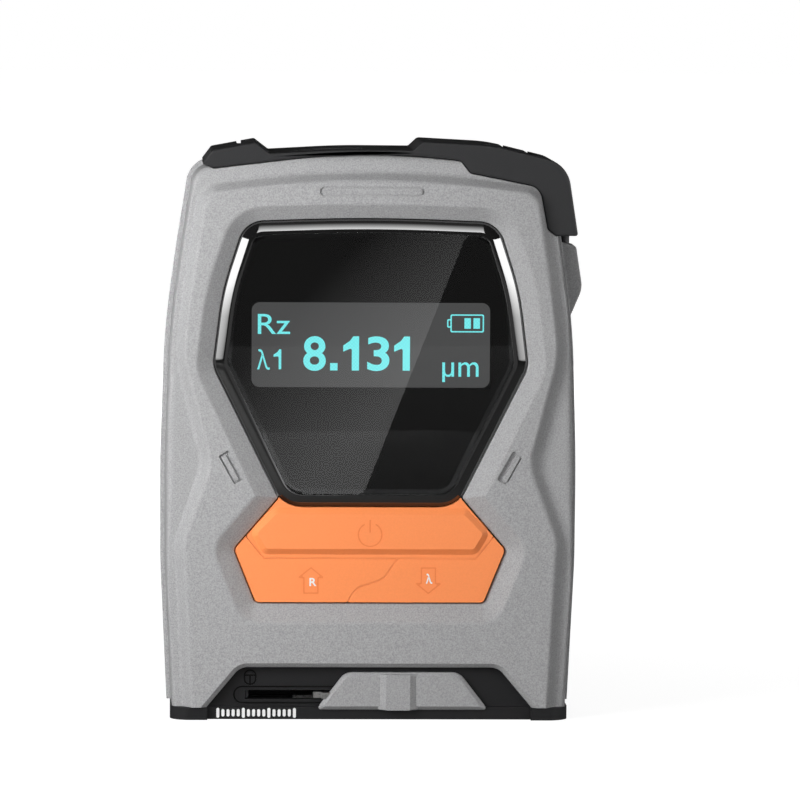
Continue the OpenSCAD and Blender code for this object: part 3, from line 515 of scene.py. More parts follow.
class Tree:
    """Short calls for the nodes of a material, a world or a geometry tree."""

    def __init__(self, tree: bpy.types.NodeTree) -> None:
        """Keep the tree.

        Args:
            tree: the node tree to add to.
        """
        self.tree = tree

    @classmethod
    def of(cls, owner: bpy.types.Material | bpy.types.World) -> "Tree":
        """Return the emptied node tree of a material or a world.

        Args:
            owner: the material or world.

        Returns:
            The tree.
        """
        owner.use_nodes = True
        owner.node_tree.nodes.clear()
        return cls(owner.node_tree)

    def add(self, kind: str, settings: dict[str, object] | None = None, **inputs: object) -> bpy.types.Node:
        """Add a node.

        Args:
            kind: the node's type name.
            settings: properties of the node.
            inputs: values or sockets for its inputs, with _ for a space.

        Returns:
            The new node.
        """
        node = self.tree.nodes.new(kind)
        for key, value in (settings or {}).items():
            setattr(node, key, value)
        for key, value in inputs.items():
            self.feed(node.inputs[key.replace("_", " ")], value)
        return node

    def feed(self, socket: bpy.types.NodeSocket, value: object) -> None:
        """Set an input to a value, or link it to another node's output.

        Args:
            socket: the input.
            value: the value, or the output that feeds it.
        """
        if isinstance(value, bpy.types.NodeSocket):
            self.tree.links.new(value, socket)
        else:
            socket.default_value = value

    def pair(self, kind: str, operation: str, first: object, second: object) -> bpy.types.Node:
        """Add a node that reckons with two values or sockets.

        Args:
            kind: the node's type name.
            operation: what it does with them.
            first: the first value or socket.
            second: the second value or socket.

        Returns:
            The new node.
        """
        node = self.add(kind, {"operation": operation})
        self.feed(node.inputs[0], first)
        self.feed(node.inputs[1], second)
        return node

    def math(self, operation: str, first: object, second: object) -> bpy.types.NodeSocket:
        """Reckon with two numbers or sockets and return the result."""
        return self.pair("ShaderNodeMath", operation, first, second).outputs[0]

    def place(self) -> bpy.types.NodeSocket:
        """Return the place on the piece, in metres."""
        return self.add("ShaderNodeTexCoord").outputs["Object"]

    def spread(
        self, value: bpy.types.NodeSocket, low: float, high: float, start: float = 0.0, end: float = 1.0,
    ) -> bpy.types.NodeSocket:
        """Map a value to another range.

        Args:
            value: the value.
            low: result at the start.
            high: result at the end.
            start: value at the start.
            end: value at the end.

        Returns:
            The result.
        """
        node = self.add(
            "ShaderNodeMapRange", Value=value, From_Min=start, From_Max=end, To_Min=low, To_Max=high,
        )
        return node.outputs["Result"]

    def two_tone(
        self, grain: bpy.types.NodeSocket, dark: Sequence[float], light: Sequence[float],
        ends: tuple[float, float] = (0.0, 1.0),
    ) -> bpy.types.NodeSocket:
        """Turn a grain into a colour between two.

        Args:
            grain: the grain, from 0 to 1.
            dark: colour at its low end.
            light: colour at its high end.
            ends: where the two ends lie.

        Returns:
            The colour.
        """
        node = self.add("ShaderNodeValToRGB", Fac=grain)
        for stop, colour, at in zip(node.color_ramp.elements, (dark, light), ends):
            stop.position = at
            stop.color = colour
        return node.outputs["Color"]


def tone(*channels: float) -> tuple[float, float, float, float]:
    """Turn screen values from 0 to 255 into a linear colour.

    Args:
        channels: red, green and blue, or one grey.

    Returns:
        The linear colour with alpha 1.
    """
    wide = channels * 3 if len(channels) == 1 else channels
    linear = [(c / 255 + 0.055) ** 2.4 / 1.055 ** 2.4 if c > 10 else c / 255 / 12.92 for c in wide]
    return (*linear, 1.0)


def scaled(colour: Sequence[float], factor: float) -> tuple[float, ...]:
    """Return a colour made lighter or darker by a factor."""
    return (*(min(1.0, c * factor) for c in colour[:3]), 1.0)


@dataclass(frozen=True)
class Finish:
    """A finish that makes its material once."""

    name: str

    def material(self) -> bpy.types.Material:
        """Return the finish's material, made at its first use."""
        found = bpy.data.materials.get(self.name)
        if found:
            return found
        made = bpy.data.materials.new(self.name)
        tree = Tree.of(made)
        tree.add("ShaderNodeOutputMaterial", Surface=self.build(tree))
        return made

    def build(self, tree: Tree) -> bpy.types.NodeSocket:
        """Add the finish's nodes and return its shader."""
        raise NotImplementedError


@dataclass(frozen=True)
class Moulded(Finish):
    """Moulded plastic or soft rubber with a fine grain, or textured paint on it."""

    colour: tuple[float, float, float, float]
    roughness: float = 0.5
    grain_mm: float = 0.3
    speckle: float = 0.1
    bump: float = 0.2
    specular: float = 0.5
    cloud: float = 0.04
    cloud_scale: float = 45.0
    relief: float = 0.12

    def build(self, tree: Tree) -> bpy.types.NodeSocket:
        """Add a grain for colour and bump, and a broad cloud for roughness.

        Args:
            tree: the material's nodes.

        Returns:
            The shader.
        """
        place = tree.place()
        grain = tree.add(
            "ShaderNodeTexNoise", Vector=place, Scale=1 / (self.grain_mm * MM), Detail=2.0, Roughness=0.6,
        ).outputs["Fac"]
        cloud = tree.add(
            "ShaderNodeTexNoise", Vector=place, Scale=self.cloud_scale, Detail=3.0, Roughness=0.5,
        ).outputs["Fac"]
        dark, light = scaled(self.colour, 1 - self.speckle), scaled(self.colour, 1 + self.speckle)
        relief = tree.add(
            "ShaderNodeBump", Strength=self.bump, Distance=self.relief * self.grain_mm * MM, Height=grain,
        )
        shader = tree.add(
            "ShaderNodeBsdfPrincipled",
            Base_Color=tree.two_tone(grain, dark, light, (0.3, 0.7)),
            Roughness=tree.spread(cloud, self.roughness - self.cloud, self.roughness + self.cloud),
            Specular_IOR_Level=self.specular,
            Normal=relief.outputs["Normal"],
        )
        return shader.outputs["BSDF"]


@dataclass(frozen=True)
class Polished(Finish):
    """Polished moulding under a clear coat."""

    colour: tuple[float, float, float, float]
    roughness: float = 0.06
    coat: float = 1.0
    coat_roughness: float = 0.03
    coat_index: float = 1.7

    def build(self, tree: Tree) -> bpy.types.NodeSocket:
        """Add a faint unevenness of the polish.

        Args:
            tree: the material's nodes.

        Returns:
            The shader.
        """
        haze = tree.add("ShaderNodeTexNoise", Vector=tree.place(), Scale=300.0, Detail=3.0)
        shader = tree.add(
            "ShaderNodeBsdfPrincipled",
            Base_Color=self.colour,
            Roughness=tree.spread(haze.outputs["Fac"], self.roughness * 0.7, self.roughness * 1.3),
            Specular_IOR_Level=1.0,
            Coat_Weight=self.coat,
            Coat_Roughness=self.coat_roughness,
            Coat_IOR=self.coat_index,
        )
        return shader.outputs["BSDF"]


@dataclass(frozen=True)
class Clear(Finish):
    """Clear lens material, lightly tinted."""

    colour: tuple[float, float, float, float]
    roughness: float = 0.0
    index: float = 1.49

    def build(self, tree: Tree) -> bpy.types.NodeSocket:
        """Add a faint unevenness of the surface.

        Args:
            tree: the material's nodes.

        Returns:
            The shader.
        """
        wave = tree.add("ShaderNodeTexNoise", Vector=tree.place(), Scale=25.0, Detail=1.0)
        relief = tree.add("ShaderNodeBump", Strength=0.02, Distance=0.02 * MM, Height=wave.outputs["Fac"])
        shader = tree.add(
            "ShaderNodeBsdfPrincipled",
            Base_Color=self.colour,
            Roughness=self.roughness,
            IOR=self.index,
            Transmission_Weight=1.0,
            Normal=relief.outputs["Normal"],
        )
        return shader.outputs["BSDF"]


@dataclass(frozen=True)
class Metal(Finish):
    """Ground or turned metal with fine lines along one axis."""

    colour: tuple[float, float, float, float]
    roughness: float = 0.3
    stretch: tuple[float, float, float] = (1.0, 12.0, 12.0)

    def build(self, tree: Tree) -> bpy.types.NodeSocket:
        """Add lines for colour, roughness and bump.

        Args:
            tree: the material's nodes.

        Returns:
            The shader.
        """
        lines = tree.add("ShaderNodeMapping", Vector=tree.place(), Scale=self.stretch)
        grain = tree.add(
            "ShaderNodeTexNoise", Vector=lines.outputs["Vector"], Scale=900.0, Detail=3.0,
        ).outputs["Fac"]
        relief = tree.add("ShaderNodeBump", Strength=0.12, Distance=0.02 * MM, Height=grain)
        shader = tree.add(
            "ShaderNodeBsdfPrincipled",
            Base_Color=tree.two_tone(grain, scaled(self.colour, 0.85), scaled(self.colour, 1.1)),
            Metallic=1.0,
            Roughness=tree.spread(grain, self.roughness * 0.8, self.roughness * 1.25),
            Normal=relief.outputs["Normal"],
        )
        return shader.outputs["BSDF"]


@dataclass(frozen=True)
class Lit(Finish):
    """A lit part of the display, with a faint pixel grid."""

    colour: tuple[float, float, float, float]
    pitch_mm: float = 0.35
    ripple: float = 0.08

    def build(self, tree: Tree) -> bpy.types.NodeSocket:
        """Add the pixel grid to the light.

        Args:
            tree: the material's nodes.

        Returns:
            The shader.
        """
        grid = tree.add(
            "ShaderNodeTexChecker", Vector=tree.place(), Scale=1 / (self.pitch_mm * MM),
            Color1=self.colour, Color2=scaled(self.colour, 1 - self.ripple),
        )
        shader = tree.add(
            "ShaderNodeBsdfPrincipled", Base_Color=(0.0, 0.0, 0.0, 1.0), Roughness=0.5,
            Emission_Color=grid.outputs["Color"], Emission_Strength=1.0,
        )
        return shader.outputs["BSDF"]


SHELL_PAINT = Moulded("shell_paint", tone(163, 163, 164), 0.55, 0.26, 0.22, 0.4, specular=0.1)
KNOB_PAINT = Moulded("knob_paint", tone(158, 158, 159), 0.5, 0.24, 0.2, 0.35, specular=0.25)
BLACK_TRIM = Moulded("black_trim", tone(42, 42, 43), 0.5, 0.2, 0.1, 0.25, specular=0.25)
BASE_BLACK = Moulded("base_black", tone(29, 29, 30), 0.5, 0.2, 0.1, 0.25, specular=0.2)
MASK_BLACK = Moulded("mask_black", tone(4), 0.8, 2.0, 0.02, 0.0, specular=0.0)
SOFT_ORANGE = Moulded("soft_orange", tone(253, 146, 84), 0.55, 0.35, 0.025, 0.15, specular=0.35)
# painted shade: a darker orange that stands for the shade inside the keys' engravings
ORANGE_PAINTED_SHADE = Moulded("orange_painted_shade", tone(240, 130, 71), 0.6, 0.35, 0.025, 0.15, specular=0.3)
# painted shade: black that stands for the shade in the lock sign's engraving and along the edge of the track
# recess
BLACK_PAINTED_SHADE = Moulded("black_painted_shade", tone(10), 0.6, 0.2, 0.05, 0.1, specular=0.1)
SCALE_WHITE = Moulded("scale_white", tone(236), 0.5, 0.2, 0.02, 0.1)
BEZEL_GLOSS = Polished("bezel_gloss", tone(18))
LENS_CLEAR = Clear("lens_clear", tone(250, 251, 252))
# painted light: the window glows grey in place of the light that would reach the panel through the lens
WINDOW_PAINTED_LIGHT = Lit("window_painted_light", tone(75), ripple=0.05)
DIGIT_CYAN = Lit("digit_cyan", tone(126, 249, 250))
STEEL = Metal("ground_steel", tone(196, 196, 194), 0.28)
SCREW_STEEL = Metal("screw_steel", tone(92, 92, 94), 0.35)
BRASS = Metal("turned_brass", tone(214, 178, 98), 0.25)
ALLOY = Metal("satin_alloy", tone(190, 192, 196), 0.38)
BOARD_GREEN = Moulded("board_green", tone(24, 92, 52), 0.35, 0.6, 0.12, 0.1)
PART_BLACK = Moulded("part_black", tone(38), 0.45, 0.2, 0.08, 0.15)
CELL_FOIL = Metal("cell_foil", tone(205, 205, 208), 0.4, (6.0, 6.0, 6.0))
RUBY = Polished("ruby", tone(160, 16, 40), 0.05)
TIP_CLEAR = Clear("tip_clear", tone(235, 244, 248), 0.02, 2.4)


def dress(piece: bpy.types.Object, finish: Finish) -> None:
    """Give a piece one finish."""
    piece.data.materials.clear()
    piece.data.materials.append(finish.material())


def fit(piece: bpy.types.Object, finish: Finish, body: Body, slot: Slot, *nodes: str) -> bpy.types.Object:
    """Dress a piece and hang it on its body.

    Args:
        piece: the finished object.
        finish: its finish.
        body: the body it moves with.
        slot: the record's slot that its finish follows; not used.
        nodes: the solids it stands for.

    Returns:
        The same object.
    """
    dress(piece, finish)
    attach(piece, body.value)
    if nodes:
        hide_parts(*nodes)
    LOG.info("%s rides on %s with %d faces", piece.name, body.value, len(piece.data.polygons))
    return piece


# Shared form


def low(node: str) -> Vector:
    """Return a node's lowest corner in millimetres."""
    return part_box(node)[0] / MM


def high(node: str) -> Vector:
    """Return a node's highest corner in millimetres."""
    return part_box(node)[1] / MM


@dataclass(frozen=True)
class Levels:
    """Depths that the pieces share, read from the solids."""

    front: float = field(default_factory=lambda: low("front_housing").y)
    rear: float = field(default_factory=lambda: high("rear_housing").y)
    seam: float = field(default_factory=lambda: low("rear_housing").y)
    lens: float = field(default_factory=lambda: low("display_lens").y)
    lens_back: float = field(default_factory=lambda: high("display_lens").y)
    flange: float = field(default_factory=lambda: high("display_bezel").y)
    frame_rise: float = 2.4
    chamfer_depth: float = 2.2
    wall: float = 2.2

    @property
    def panel(self) -> float:
        """Depth of the side panels beside the frame."""
        return self.front + self.frame_rise

    @property
    def lip(self) -> float:
        """Depth of the edge of the opening."""
        return self.front + self.chamfer_depth

    @property
    def back(self) -> float:
        """Depth of the inside of the front wall."""
        return self.panel + self.wall


@dataclass(frozen=True)
class Form:
    """Outlines that the shells, the display and the keys share, in millimetres."""

    half_w: float = 41.1
    height: float = 111.7
    crown_fall: float = 2.7
    top_lean: float = 5.6
    seam_step: float = 0.9
    frame_slope: float = 1.6
    bezel_w: float = 2.6
    bezel_low_w: float = 2.2
    bezel_fit: float = 0.15
    lens_crown_r: float = 350.0
    soft_r: float = 150.0
    chamfer_w: float = 3.7
    chamfer_top_w: float = 2.8
    frame_top_in: tuple[float, float] = (1.9, 4.4)
    waist_z: float = 43.6
    case_screw_spots: tuple[tuple[float, float], ...] = ((29.5, 101.5), (33.5, 28.0))

    @property
    def top_x(self) -> float:
        """Distance of the top corners from the middle."""
        return self.half_w - self.top_lean

    def crown(self, x: float, z: float) -> tuple[float, float, float]:
        """Return the apex of a top edge that arches up to z between corners at -x and x."""
        return (0.0, z + self.crown_fall * 2 / 3, 0.48 * x * x / self.crown_fall)

    @property
    def body(self) -> Outline:
        """Outline of the rear shell."""
        w, h = self.half_w, self.height
        half = [
            (w - 1.8, -6.0, 2.0), (w - 0.1, 30.0, self.soft_r), (w, 50.0, 2 * self.soft_r),
            (w - 0.8, 76.0, self.soft_r), (w - 2.9, 92.0, 2 * self.soft_r),
            (self.top_x, h - self.crown_fall, 5.0),
        ]
        return Outline.mirrored(half, self.crown(self.top_x, h))

    @property
    def front(self) -> Outline:
        """Outline of the front shell."""
        return self.body.grown(-self.seam_step)

    @property
    def frame(self) -> Outline:
        """Outline of the raised hourglass frame."""
        w, top_x, top = self.half_w, self.top_x - self.frame_top_in[0], self.height - self.frame_top_in[1]
        half = [
            (w - 5.1, -4.0, 2.0), (w - 2.9, 35.5, 9.0), (w - 8.4, 50.5, 8.0),
            (w - 2.9, 71.5, 24.0), (w - 4.7, 87.0, self.soft_r), (top_x, top - self.crown_fall, 5.0),
        ]
        return Outline.mirrored(half, self.crown(top_x, top))

    @property
    def lens(self) -> Outline:
        """Outline of the lens."""
        half = [(15.7, 44.2, 4.0), (28.1, 69.8, 3.0), (26.4, 83.5, 50.0), (22.7, 95.0, 2.5)]
        return Outline.mirrored(half, (0.0, 95.8, self.lens_crown_r))

    def bezel(self, share: float, more: float = 0.0) -> Outline:
        """Return a line in the bezel, narrower at its foot.

        Args:
            share: share of the bezel's width from the lens outwards.
            more: further growth.

        Returns:
            The line.
        """
        half = [self.bezel_low_w, self.bezel_w, self.bezel_w, self.bezel_w]
        widths = [*half, self.bezel_w, *reversed(half)]
        return Outline([self.lens.grown(w * share + more).corners[i] for i, w in enumerate(widths)])

    @property
    def opening(self) -> Outline:
        """Outline of the opening for the display and the keys."""
        hole = self.bezel(1.0, self.bezel_fit).corners
        (low_x, low_z, _), (hip_x, hip_z, _) = hole[0], hole[1]
        waist_x = low_x + (self.waist_z - low_z) / (hip_z - low_z) * (hip_x - low_x)
        half = [(22.45, 22.85, 1.2), (26.75, 33.5, 1.5), (waist_x, self.waist_z, 0.5), *hole[1:4]]
        return Outline.mirrored(half, hole[4])

    @property
    def chamfer(self) -> Outline:
        """Outline of the outer edge of the chamfer around the opening."""
        wide, narrow = self.chamfer_w, self.chamfer_top_w
        middle = (wide + narrow) / 2
        half = [wide, wide, wide, middle, middle, narrow]
        widths = [*half, narrow, *reversed(half)]
        return Outline([self.opening.grown(w).corners[i] for i, w in enumerate(widths)])


# Sub-assemblies


@dataclass
class Bumper:
    """Black moulding on the top edge and the right corner."""

    form: Form
    levels: Levels
    edge: float = 0.45
    gap: float = 0.1
    seat_fit: float = 0.15
    lift: float = 3.0
    band_t: float = 1.0
    band_fall: float = 0.12
    step_x: float = 17.4
    ridge: tuple[float, float] = (23.5, 0.7)
    corner: tuple[float, float] = (2.7, 2.6)
    cap_z: float = 95.0
    rib_w: float = 0.9
    rib_d: float = 0.6
    rib_start: float = 3.0
    rib_xs: tuple[float, float] = (26.1, 31.0)
    left_rib: tuple[float, float] = (9.3, 1.4)
    plug_room: tuple[float, float] = (12.6, 6.4)
    plug_z: float = 90.0

    @property
    def outline(self) -> Outline:
        """Front-view outline of the bumper."""
        w, h, fall, step = self.form.half_w, self.form.height, self.band_fall, self.step_x
        top = h - self.form.seam_step - self.seat_fit
        band_z, crest = top + self.band_t, high("top_bumper").z
        apex = top + 0.45 * step * fall
        left = self.form.top_x - 2.3
        foot = left - 2.4
        low_z = apex - fall * foot
        return Outline([
            (-left, low_z + 0.85, 0.4), (-foot, low_z, 0.6), (0.0, apex, 0.9 * step / fall),
            (step, apex - fall * step, 0.6), (step + 1.8, top - 3.5, 0.8), (32.8, h - 7.2, 3.0),
            (34.4, self.cap_z + 1.2, 1.5), (36.0, self.cap_z, 0.8), (w - 0.7, self.cap_z, 0.5),
            (self.form.top_x + self.corner[0], h - self.corner[1], 6.0),
            (self.ridge[0], crest - self.ridge[1], 30.0), (9.8, crest, 1.2), (8.0, band_z, 0.6),
            (-6.0, band_z + 0.05, 150.0), (13.3 - left, band_z - 0.75, 0.6),
            (10.5 - left, crest - 0.3, 0.6), (2.0 - left, crest - 1.9, 0.8),
        ])

    @property
    def rear(self) -> float:
        """Depth of the bumper's rear end."""
        return high("top_bumper").y

    def cutters(self) -> list[bpy.types.Object]:
        """Make the tools that cut the bumper's seat into the shells."""
        tools = []
        for lift in (0.0, self.lift):
            seat = Outline((x + lift / 2, z + lift, r) for x, z, r in self.outline.corners).grown(self.gap)
            points = seat.points()
            ends = (self.levels.front - 1, self.rear + self.gap)
            tools.append(loft("seat", [Ring(points, depth) for depth in ends]))
        return tools

    def build(self) -> bpy.types.Object:
        """Make the bumper with its grip grooves and plug recess."""
        piece = plate("bumper", self.outline, self.levels.panel, self.rear, self.edge)
        crest = high("top_bumper").z
        ridge_x, ridge_z = self.ridge[0], crest - self.ridge[1]
        run = self.form.top_x + self.corner[0] - ridge_x
        slope = (ridge_z - (self.form.height - self.corner[1])) / run
        floors = {self.left_rib[0] - self.form.top_x: crest - self.left_rib[1]}
        floors |= {x: ridge_z - slope * (x - ridge_x) - self.rib_d for x in self.rib_xs}
        start = self.levels.panel + self.rib_start
        tools = [block("groove", (x, start, z), (x + self.rib_w, FAR, FAR)) for x, z in floors.items()]
        middle = (low("charge_socket") + high("charge_socket")) / 2
        half_x, half_y = self.plug_room[0] / 2, self.plug_room[1] / 2
        tools.append(block(
            "plug_room",
            (middle.x - half_x, middle.y - half_y, self.plug_z),
            (middle.x + half_x, middle.y + half_y, FAR),
        ))
        carve(piece, *tools)
        return fit(shade(piece), BLACK_TRIM, Body.HOUSING, Slot.TRIM, "top_bumper")


@dataclass
class Housing:
    """The two grey shells."""

    form: Form
    levels: Levels
    bumper: Bumper
    notch_top_w: float = 50.4
    notch_foot_w: float = 63.6
    notch_r: float = 3.0
    notch_z: float = 10.2
    notch_chamfer: float = 0.9
    notch_fit: float = 0.15
    base_t: float = 2.5
    accent: tuple[float, float, float] = (20.0, 1.5, 103.6)
    groove: float = 0.4
    grip_at: tuple[float, float] = (27.2, 49.7)
    grip_size: tuple[float, float] = (2.2, 6.4)
    grip_tilt: float = 29.0
    grip_r: float = 0.3
    grip_d: float = 0.7
    island_margin: tuple[float, float] = (0.62, 0.45)
    island_shift: float = 0.3
    boss_top: float = 93.6
    boss_h: float = 16.5
    boss_in: float = 4.5
    boss_out: float = 1.05
    boss_ys: tuple[float, float] = (0.6, 10.0)
    boss_edge: float = 0.4
    cleft_in: float = 4.4
    cleft_w: float = 6.0
    cleft_zs: tuple[float, float] = (92.4, 96.0)
    head_r: float = 2.25
    head_seat_d: float = 2.6
    rear_r: float = 5.5
    rear_drafts: tuple[float, float] = (0.4, 0.7)

    def notch_tool(self) -> bpy.types.Object:
        """Make the tool that cuts the chamfered notch over the base."""
        over = 0.1
        foot, foot_z, half = self.notch_foot_w / 2 + 5, self.base_t - 6.2, self.notch_top_w / 2
        line = Outline([
            (-foot, foot_z, 0.5), (foot, foot_z, 0.5),
            (half, self.notch_z, self.notch_r), (-half, self.notch_z, self.notch_r),
        ])
        y, inner = self.levels.front, line.grown(self.notch_fit).points()
        return loft("notch", [
            Ring(line.grown(self.notch_chamfer + over + self.notch_fit).points(), y - over),
            Ring(inner, y + self.notch_chamfer, 0.3),
            Ring(inner, self.levels.back + 1),
        ])

    def capsule_tool(self) -> bpy.types.Object:
        """Make the tool that cuts the capsule groove near the top."""
        length, width, z = self.accent
        half, r = length / 2, width / 2
        line = rectangle(-half, z - r, half, z + r, r - 0.01)
        outer, inner = (line.grown(side * self.groove / 2).points() for side in (1, -1))
        y = self.levels.front
        return hollow("capsule", outer, inner, y - 1, y + self.groove)

    def grip_tool(self, side: int) -> bpy.types.Object:
        """Make the tool that cuts one slanted grip slot, with an island left in it.

        Args:
            side: 1 for the right slot and -1 for the left.

        Returns:
            The tool.
        """
        half_w, half_l = self.grip_size[0] / 2, self.grip_size[1] / 2
        turn = math.radians(-side * self.grip_tilt)
        cos, sin = math.cos(turn), math.sin(turn)
        at_x, at_z = side * self.grip_at[0], self.grip_at[1]

        def slot(w: float, l: float, shift: float) -> list[Vector]:
            """Return a slanted rectangle.

            Args:
                w: half width.
                l: half length.
                shift: how far it lies beside the slot's middle.

            Returns:
                The points.
            """
            flat = rectangle(shift - w, -l, shift + w, l, self.grip_r)
            return Outline(
                (at_x + x * cos - z * sin, at_z + x * sin + z * cos, r) for x, z, r in flat.corners
            ).points()

        margin_w, margin_l = self.island_margin
        island = slot(half_w - margin_w, half_l - margin_l, side * self.island_shift)
        y = self.levels.front
        return hollow("grip", slot(half_w, half_l, 0.0), island, y - 1, y + self.grip_d)

    def below(self) -> bpy.types.Object:
        """Make the tool that cuts a shell off level with the base."""
        return block("below", (-FAR, -FAR, -FAR), (FAR, FAR, self.base_t))

    def build_front(self) -> bpy.types.Object:
        """Make the front shell with its frame, opening, notch and grooves."""
        form, y = self.form, self.levels
        opening, frame_line, front = form.opening, form.frame, form.front
        piece = loft("front_shell", [
            Ring(opening.points(), y.back),
            Ring(opening.points(), y.lip, 0.2),
            Ring(form.chamfer.points(), y.front, 0.55),
            Ring(frame_line.grown(-form.frame_slope).points(), y.front, 0.8),
            Ring(frame_line.points(), y.panel, 0.9),
            Ring(front.grown(-0.25).points(), y.panel, 1.7),
            Ring(front.points(), y.seam, 0.25),
            Ring(front.grown(-y.wall).points(), y.seam),
            Ring(front.grown(-y.wall - 0.3).points(), y.back),
        ], closed=True)
        carve(piece, *self.bumper.cutters(), self.notch_tool(), self.below())
        carve(piece, self.capsule_tool(), self.grip_tool(1), self.grip_tool(-1))
        return fit(shade(piece), SHELL_PAINT, Body.HOUSING, Slot.SHELL, "front_housing")

    def boss(self) -> bpy.types.Object:
        """Make the strap boss on the right side."""
        w, top, foot = self.form.half_w, self.boss_top, self.boss_top - self.boss_h
        line = Outline([
            (w - self.boss_in, foot, 0.2), (w - 1.9, foot, 0.5), (w + self.boss_out, top - 9.5, 5.0),
            (w - 0.25, top - 1.2, 0.8), (w - self.boss_in, top, 0.2),
        ])
        front, back = (self.levels.seam + y for y in self.boss_ys)
        return plate("boss", line, front, back, self.boss_edge)

    def build_rear(self) -> bpy.types.Object:
        """Make the rear shell with its boss and screw recesses."""
        body, y = self.form.body, self.levels
        floor = y.rear - y.wall
        side_draft, end_draft = self.rear_drafts
        piece = loft("rear_shell", [
            Ring(body.grown(-y.wall - 2.6).points(), floor),
            Ring(body.grown(-y.wall - 0.4).points(), floor - 3),
            Ring(body.grown(-y.wall).points(), y.seam),
            Ring(body.points(), y.seam, 0.35),
            Ring(body.grown(-side_draft).points(), y.rear - 6),
            Ring(body.grown(-end_draft).points(), y.rear, self.rear_r),
            Ring(body.grown(-self.rear_r).points(), y.rear),
        ])
        carve(piece, self.boss(), way=Carving.JOIN)
        post_y = (low("strap_post").y + high("strap_post").y) / 2
        (foot, top), half = self.cleft_zs, self.cleft_w / 2
        inner = self.form.half_w - self.cleft_in
        cleft = block("cleft", (inner, post_y - half, foot), (FAR, post_y + half, top))
        heads = [
            drum("head_seat", (side * x, z), self.head_r, y.rear - self.head_seat_d, y.rear + 1)
            for x, z in self.form.case_screw_spots for side in (-1, 1)
        ]
        carve(piece, *self.bumper.cutters(), self.below(), cleft, *heads)
        return fit(shade(piece), SHELL_PAINT, Body.HOUSING, Slot.SHELL, "rear_housing")


@dataclass(frozen=True)
class Legend:
    """Lettering on the display or a key: its text and the box it fills, in millimetres."""

    text: str
    left: float
    bottom: float
    right: float
    top: float
    weight: float = 0.0


def lettering(name: str, legend: Legend, depth: float, thickness: float) -> bpy.types.Object:
    """Make flat lettering that faces the front and fills its box.

    Args:
        name: name of the piece.
        legend: the text and its box.
        depth: depth of its front face.
        thickness: thickness of the letters.

    Returns:
        The new object.
    """
    curve = bpy.data.curves.new(name, "FONT")
    curve.body = legend.text
    curve.offset = legend.weight
    curve.extrude = 0.5
    curve.resolution_u = 6
    writer = linked(name + "_writer", curve)
    graph = bpy.context.evaluated_depsgraph_get()
    mesh = bpy.data.meshes.new_from_object(writer.evaluated_get(graph))
    bpy.data.objects.remove(writer)
    bpy.data.curves.remove(curve)
    xs, ys = [v.co.x for v in mesh.vertices], [v.co.y for v in mesh.vertices]
    left, bottom = min(xs), min(ys)
    stretch_x = (legend.right - legend.left) / (max(xs) - left)
    stretch_z = (legend.top - legend.bottom) / (max(ys) - bottom)
    for vert in mesh.vertices:
        x = legend.left + (vert.co.x - left) * stretch_x
        z = legend.bottom + (vert.co.y - bottom) * stretch_z
        y = depth + thickness * (0.5 - vert.co.z)
        vert.co = Vector((x, y, z)) * MM
    mesh.materials.clear()
    return linked(name, mesh)


def merged(name: str, pieces: Sequence[bpy.types.Object]) -> bpy.types.Object:
    """Join plain objects into one.

    Args:
        name: name of the joined piece.
        pieces: the objects, which are used up.

    Returns:
        The new object.
    """
    bm = bmesh.new()
    for piece in pieces:
        bm.from_mesh(piece.data)
        discard(piece)
    return as_object(name, bm)


